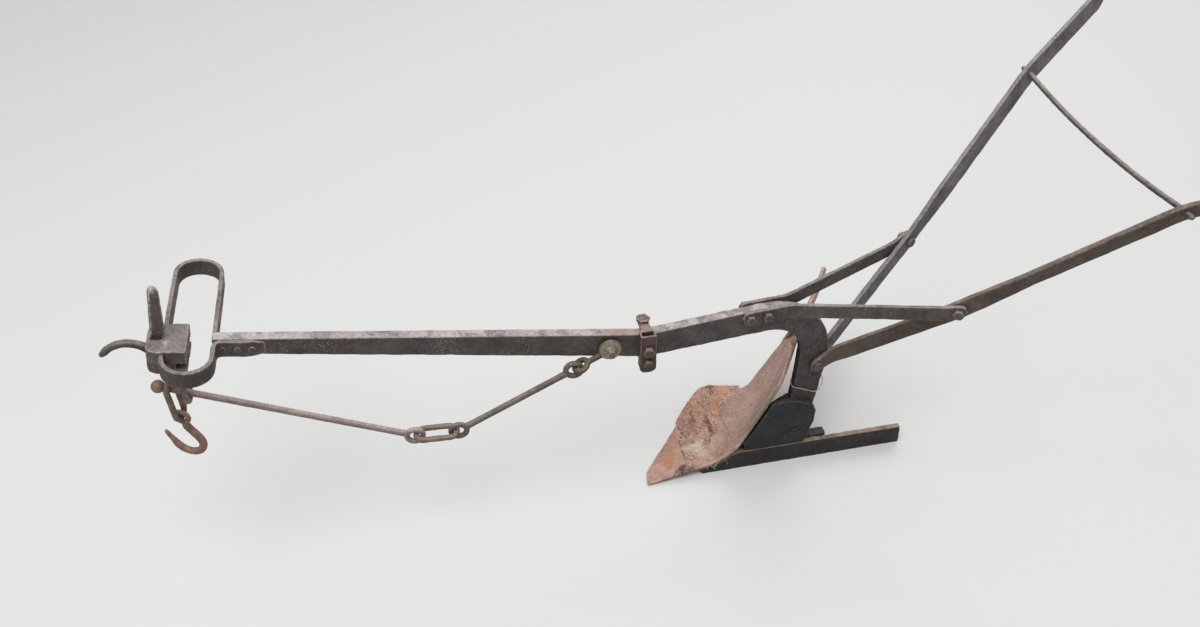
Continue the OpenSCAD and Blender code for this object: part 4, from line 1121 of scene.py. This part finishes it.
# Rough length of the face from one station to the next, and its rough width
station_len, face_w = 85 * mm, 260 * mm


def through(rows, t, breaks):
    """Smooth curve through the rows at stations t: each stretch is the cubic whose slopes are half the
    difference of its neighbours; it doesn't look past the breaks."""
    i = np.minimum(np.floor(t).astype(int), last_row - 1)
    f = (t - i).reshape(t.shape + (1,) * (rows.ndim - 1))
    low = np.where(i >= breaks, breaks, 0) if breaks else 0 * i
    high = np.where(i < breaks, breaks, last_row) if breaks else 0 * i + last_row
    a, b, c, d = rows[np.maximum(i - 1, low)], rows[i], rows[i + 1], rows[np.minimum(i + 2, high)]
    second, third = 2 * a - 5 * b + 4 * c - d, 3 * b - a - 3 * c + d
    return 0.5 * (2 * b + (c - a) * f + second * f ** 2 + third * f ** 3)


def working_face(t, s):
    """Points of the working face: t counts the stations from the point to the tail, s runs from the land side
    to the furrow side; between them the row hangs by its hollow along a parabola."""
    line = through(land_line, t, corner) * (1 - s)[..., None] + through(furrow_line, t, 0) * s[..., None]
    return line + hollow_way * (4 * s * (1 - s) * through(hollow, t, 0))[..., None]


def face_normal(t, s):
    """Unit normal of the working face, from its steps along t and s."""
    e = 0.02
    t0, t1 = np.maximum(t - e, 0), np.minimum(t + e, last_row)
    s0, s1 = np.maximum(s - e, 0), np.minimum(s + e, 1)
    along, across = working_face(t1, s) - working_face(t0, s), working_face(t, s1) - working_face(t, s0)
    return unit(np.cross(along, across))


def there_and_back(over, under):
    """Rings that run along the rows of one grid and back along those of the other."""
    return np.concatenate([over, under[:, ::-1]], 1)


def rounded_rim(inside):
    """Quarter circle that rises from 0 at the rim to 1 where inside, the distance from the rim as a share
    of the rim's width, is 1."""
    return np.sqrt(1 - (1 - np.clip(inside, 0, 1)) ** 2)


def plate(first, last, rows, columns):
    """Closed plate between two stations, with the t and s of its points: each ring runs over the face from
    the land side to the furrow side, and back underneath, held to the landside and the ground. Its rims are
    worn round."""
    t, s = np.meshgrid(np.linspace(first, last, rows),
                       0.5 - 0.5 * np.cos(np.linspace(0.06, np.pi - 0.06, columns)), indexing="ij")
    s = 0.5 + (s - 0.5) * (0.35 + 0.65 * rounded_rim(t * station_len / (12 * mm)))
    n = face_normal(t, s)
    rim = rounded_rim(np.minimum(s, 1 - s) * face_w / (4 * mm))
    front = working_face(t, s) - n * (plate_t * 0.5 * (1 - rim) * 0.8)[..., None]
    back = working_face(t, s) - n * (plate_t * (1 - 0.4 * (1 - rim)))[..., None]
    back[..., 1] = np.maximum(back[..., 1], through(land_line, t, corner)[..., 1])
    back[..., 2] = np.maximum(back[..., 2], 0.4 * mm)
    return skin(there_and_back(front, back)), there_and_back(t, t).ravel(), there_and_back(s, s).ravel()


def patches(t, s, *spots):
    """Soft spots on the face: each is its station, its place across, its two sizes and its strength."""
    return sum(k * np.exp(-((t - a) / da) ** 2 - ((s - b) / db) ** 2) for a, b, da, db, k in spots)


# The share ends at station 3, with a fine seam to the moldboard
share_end, seam = 3, 0.002
share_finish = iron("share_finish", (162, 126, 112), (170, 120, 92), (190, 160, 144), (190, 166, 150), 0.5,
                    0.5, 0.5, stains=((176, 124, 92), (92, 70, 60), (192, 172, 160)))
share_shape, t, s = plate(0.06, share_end - seam, 130, 60)
share_piece = piece("share_plate", share_shape, share_finish, "plough", ["share"], 0.5 * mm,
                    40 * mm)
tinted(share_piece, lambda p: (patches(t, s, (0.7, 0.5, 0.22, 0.3, 0.7), (1.1, 0.9, 0.3, 0.2, 0.5)),
                               patches(t, s, (0.95, 0.0, 0.35, 0.12, 0.8)),
                               patches(t, s, (1.5, 0.25, 0.4, 0.16, 0.6), (2.3, 0.2, 0.5, 0.12, 0.4))))
moldboard_finish = iron("moldboard_finish", (164, 132, 121), (166, 130, 108), (188, 160, 148),
                        (200, 182, 168), 0.4, 0.6, 0.8, specks=0.2,
                        stains=((168, 122, 90), (118, 116, 80), (190, 168, 156)))
moldboard_shape, t, s = plate(share_end + seam, last_row, 170, 70)
moldboard_piece = piece("moldboard_plate", moldboard_shape, moldboard_finish, "plough",
                        ["moldboard"], 0.5 * mm, 60 * mm)
# Orange-brown low down, high on the shin and near the tail; a green bloom along the shin; pale at the seam
tinted(moldboard_piece, lambda p: (
    patches(t, s, (3.4, 0.85, 0.3, 0.2, 0.5), (8.0, 0.05, 1.5, 0.3, 0.45), (9.6, 0.6, 0.8, 0.3, 0.2)),
    0.6 * np.exp(-(s / 0.15) ** 2) * rise(t, 3.3, 3.9) * rise(t, 6.8, 5.6),
    patches(t, s, (3.3, 0.35, 0.4, 0.2, 0.35))))

# Crust: dried earth and flaking rust caked on the share and on the moldboard's foot, lumpy, and ragged at its
# edge. Pale roots are caught in it and hang over the land side.

share_w = 240 * mm
crust_t, crust_s = np.meshgrid(np.linspace(0.5, 4.1, 250), np.linspace(-0.01, 1.03, 112), indexing="ij")


def crust_lift(t, s, points):
    """Height of the crust over the face: lumps of four sizes and flakes inside its ragged border, 2 mm below
    the face outside it. The border's distance is the least of those to its two sides."""
    land_side = np.interp(t, [0.6, 1.05, 1.15, 1.6, 2.08, 2.62, 3.0, 3.38, 3.7, 4.0],
                          [-0.02, 0.0, 0.17, 0.24, 0.32, 0.4, 0.58, 0.76, 0.9, 1.06])
    front = np.interp(s, [0, 0.08, 0.3, 0.5, 0.8, 1.0], [0.66, 0.68, 0.88, 1.02, 1.18, 1.28])
    inside = np.minimum((s - land_side) * share_w, (t - front) * station_len)
    inside = inside + 7 * mm * waves(points, 42 * mm, 5) + 4 * mm * waves(points, 13 * mm, 6)
    mask = rise(inside, 0, 8 * mm)
    lumps = 3.2 * waves(points, 34 * mm, 7) + 2.6 * np.abs(waves(points, 12 * mm, 8))
    fine_lumps = 1.7 * waves(points, 5 * mm, 9) + 0.9 * waves(points, 2.6 * mm, 10)
    flakes = 2.4 * rise(waves(points, 17 * mm, 11), 0.05, 0.2)
    high = np.clip(3.2 + lumps + fine_lumps + flakes, 0.5, 12)
    return (mask * high - 2 * (1 - mask)) * mm


lift = crust_lift(crust_t, crust_s, working_face(crust_t, crust_s))
crust_s = np.where(lift < 0, np.clip(crust_s, 0.03, 0.965), crust_s)
face = working_face(crust_t, crust_s)
normal = face_normal(crust_t, crust_s)
over, under = face + normal * lift[..., None], face - normal * 3 * mm
over[..., 2] = np.maximum(over[..., 2], 0.8 * mm)
under[..., 2] = np.maximum(under[..., 2], 0.4 * mm)
crust_finish = iron("crust_finish", (146, 108, 90), (186, 120, 82), (198, 168, 150), (220, 196, 176), 0.65,
                    0.5, 0.9, grain=1.7, metal=0.0, bump=1.0, specks=0.12,
                    stains=((202, 136, 96), (72, 52, 46), (210, 192, 178)))
crust_piece = piece("share_crust", skin(there_and_back(over, under)), crust_finish, "plough",
                    (), 0.1 * mm, 9 * mm)
t, s = there_and_back(crust_t, crust_t).ravel(), there_and_back(crust_s, crust_s).ravel()
tinted(crust_piece, lambda p: (
    patches(t, s, (2.88, 0.64, 0.22, 0.2, 0.55), (2.1, 0.9, 0.25, 0.2, 0.45), (3.35, 0.85, 0.2, 0.2, 0.5)),
    0.14 + patches(t, s, (2.3, 0.5, 0.18, 0.2, 0.45), (0.85, 0.05, 0.3, 0.12, 0.5),
                   (1.75, 0.75, 0.2, 0.2, 0.35), (3.1, 0.95, 0.14, 0.12, 0.4)),
    patches(t, s, (1.55, 0.33, 0.35, 0.16, 0.5), (3.42, 0.76, 0.16, 0.12, 0.5),
            (1.2, 0.5, 0.25, 0.16, 0.35))))

# Seventeen roots lie on the face, given by their stations and places across; nine hang off its land side
dice = np.random.default_rng(12)
face_lines = [np.array([[1.05, 0.5], [1.1, 0.4], [1.18, 0.28], [1.3, 0.26], [1.48, 0.18], [1.66, 0.1],
                        [1.82, 0.02]])]
for _ in range(16):
    heading = dice.normal(0, 0.9)
    turns = heading + np.cumsum(dice.normal(0, 0.5, 6))
    start = np.array([dice.uniform(0.95, 2.2), dice.uniform(0.03, 0.4)])
    steps = np.stack([np.cos(turns) / station_len, np.sin(turns) / share_w], -1) * dice.uniform(3, 7) * mm
    face_lines.append(start + np.cumsum(steps, 0))
roots = []
for line in face_lines:
    t, s = np.clip(line[:, 0], 0.7, 3.9), np.clip(line[:, 1], 0.0, 1.0)
    face = working_face(t, s)
    high = np.maximum(crust_lift(t, s, face), 0) + dice.uniform(0.2, 2.2, len(t)) * mm
    roots.append(eased(spread(face + face_normal(t, s) * high[:, None], 1.6 * mm), 6))
for _ in range(9):
    t = np.array([dice.uniform(1.15, 2.3)])
    top = working_face(t, 0 * t)[0] + np.array([0, 3, 4]) * mm
    drop = dice.uniform(10, 24) * mm
    lean = dice.normal(0, 9, 2) * mm
    at = np.array([top, top + [lean[0] * 0.3, -6 * mm, -1 * mm], top + [lean[0], -7.5 * mm, -0.5 * drop],
                   top + [lean[0] + lean[1], -8.5 * mm, -drop]])
    at[:, 2] = np.maximum(at[:, 2], 3 * mm)
    roots.append(eased(spread(at, 1.6 * mm), 6))
root_finish = iron("root_finish", (182, 166, 146), (150, 122, 98), (194, 180, 162), (198, 186, 168), 0.5, 0.3,
                   0.2, metal=0.0, specks=0.0)
thickness = np.r_[0.7, dice.uniform(0.25, 0.5, len(roots) - 1)] * mm
root_shapes = [skin(round_rings(line, thick, (0.3, 0.2, 0.93), 6)) for line, thick in zip(roots, thickness)]
piece("caught_roots", joined(*root_shapes), root_finish, "plough", (), 0.1 * mm, 6 * mm)

# Wire: a thin piece of pale iron wire, twisted by hand round the standard above the frog plate. Its loose end
# curls up behind.

wire_path = eased(spread(np.array([
    [-33, 26, 219], [-37, 12, 217], [-35.5, 4.8, 216], [-12, 4.6, 206], [15, 4.6, 192], [24, 4.4, 198],
    [29, 5, 211], [33, 12, 221], [31, 22, 224], [27, 30, 217]]) * mm, 1.5 * mm), 5)
wire_finish = iron("wire_finish", (166, 158, 146), (140, 116, 94), (190, 182, 170), (200, 194, 184), 0.3, 0.4,
                   0.5, specks=0.0)
piece("standard_wire", skin(round_rings(wire_path, 0.95 * mm, (0.1, 0.95, 0.3), 8)), wire_finish, "plough",
      (), 0.1 * mm, 8 * mm)

# Grips: turned ash, swelling towards the hand's heel and domed at the end. They are driven on the tangs, and
# the weather has opened their pores.

grip_sides, grip_from = 32, 15 * mm


def ash_wood():
    """Bare weathered ash: long streaks along the grain, dark open pores and fine checks. The attribute grain
    holds the place along and round the grip."""
    made = bpy.data.materials.new("ash_wood")
    made.use_nodes = True
    tree = made.node_tree
    surface = tree.nodes["Principled BSDF"]
    grain = add(tree, "ShaderNodeAttribute", attribute_name="grain").outputs["Vector"]

    def along_grain(scale, detail, rough=0.5):
        place = add(tree, "ShaderNodeMapping", {"Vector": grain, "Scale": scale}).outputs[0]
        wires = {"Vector": place, "Scale": 1.0, "Detail": detail, "Roughness": rough}
        return add(tree, "ShaderNodeTexNoise", wires).outputs["Fac"]

    streaks = along_grain((9.0, 160.0, 160.0), 6.0, 0.6)
    tone = add(tree, "ShaderNodeValToRGB", {"Fac": streaks})
    dark_stop, light_stop = tone.color_ramp.elements
    dark_stop.position, light_stop.position = 0.32, 0.68
    dark_stop.color = srgb(98, 76, 58)
    light_stop.color = srgb(164, 134, 104)
    pores = along_grain((40.0, 900.0, 900.0), 2.0)
    wires = {"Value": pores, "From Min": 0.3, "From Max": 0.45, "To Min": 0.6, "To Max": 1.0}
    open_pore = add(tree, "ShaderNodeMapRange", wires).outputs[0]
    dark = add(tree, "ShaderNodeCombineColor", {0: open_pore, 1: open_pore, 2: open_pore}).outputs[0]
    wires = {0: 1.0, 6: tone.outputs["Color"], 7: dark}
    colour = add(tree, "ShaderNodeMix", wires, data_type="RGBA", blend_type="MULTIPLY").outputs[2]
    tree.links.new(colour, surface.inputs["Base Color"])
    lumps = add(tree, "ShaderNodeBump", {"Height": streaks, "Strength": 0.4, "Distance": 0.001})
    tree.links.new(lumps.outputs["Normal"], surface.inputs["Normal"])
    surface.inputs["Roughness"].default_value = 0.7
    return made


wood = ash_wood()
run = np.r_[np.linspace(0, 112, 60), 114, 116, 117.4, 118] * mm
radius = np.interp(run / mm, [0, 1.5, 4, 12, 40, 80, 98, 106, 112, 116, 117.4, 118],
                   [14.6, 15.6, 16.2, 17.4, 16.6, 15.6, 16.8, 16.2, 13.4, 8.4, 4.5, 0.6]) * mm
line = handle_end + np.outer(grip_from + run, grip_way)
a = full_turn(grip_sides)
grain_places = np.stack([np.repeat(run[:, None], grip_sides, 1), np.outer(radius, np.cos(a)),
                         np.outer(radius, np.sin(a))], -1)
for side, name in ((-1, "near"), (1, "far")):
    normal = np.array([-side * math.sin(splay), math.cos(splay), 0.0])
    shape = skin(round_rings(handle_place(line, side), radius, normal, grip_sides))
    made = piece(name + "_grip_wood", shape, wood, "plough", [name + "_grip"], 0.15 * mm,
                 30 * mm)
    # Each grip is cut from another place in the wood
    places = (grain_places + side * 0.3).ravel()
    made.data.attributes.new("grain", "FLOAT_VECTOR", "POINT").data.foreach_set("vector", places)
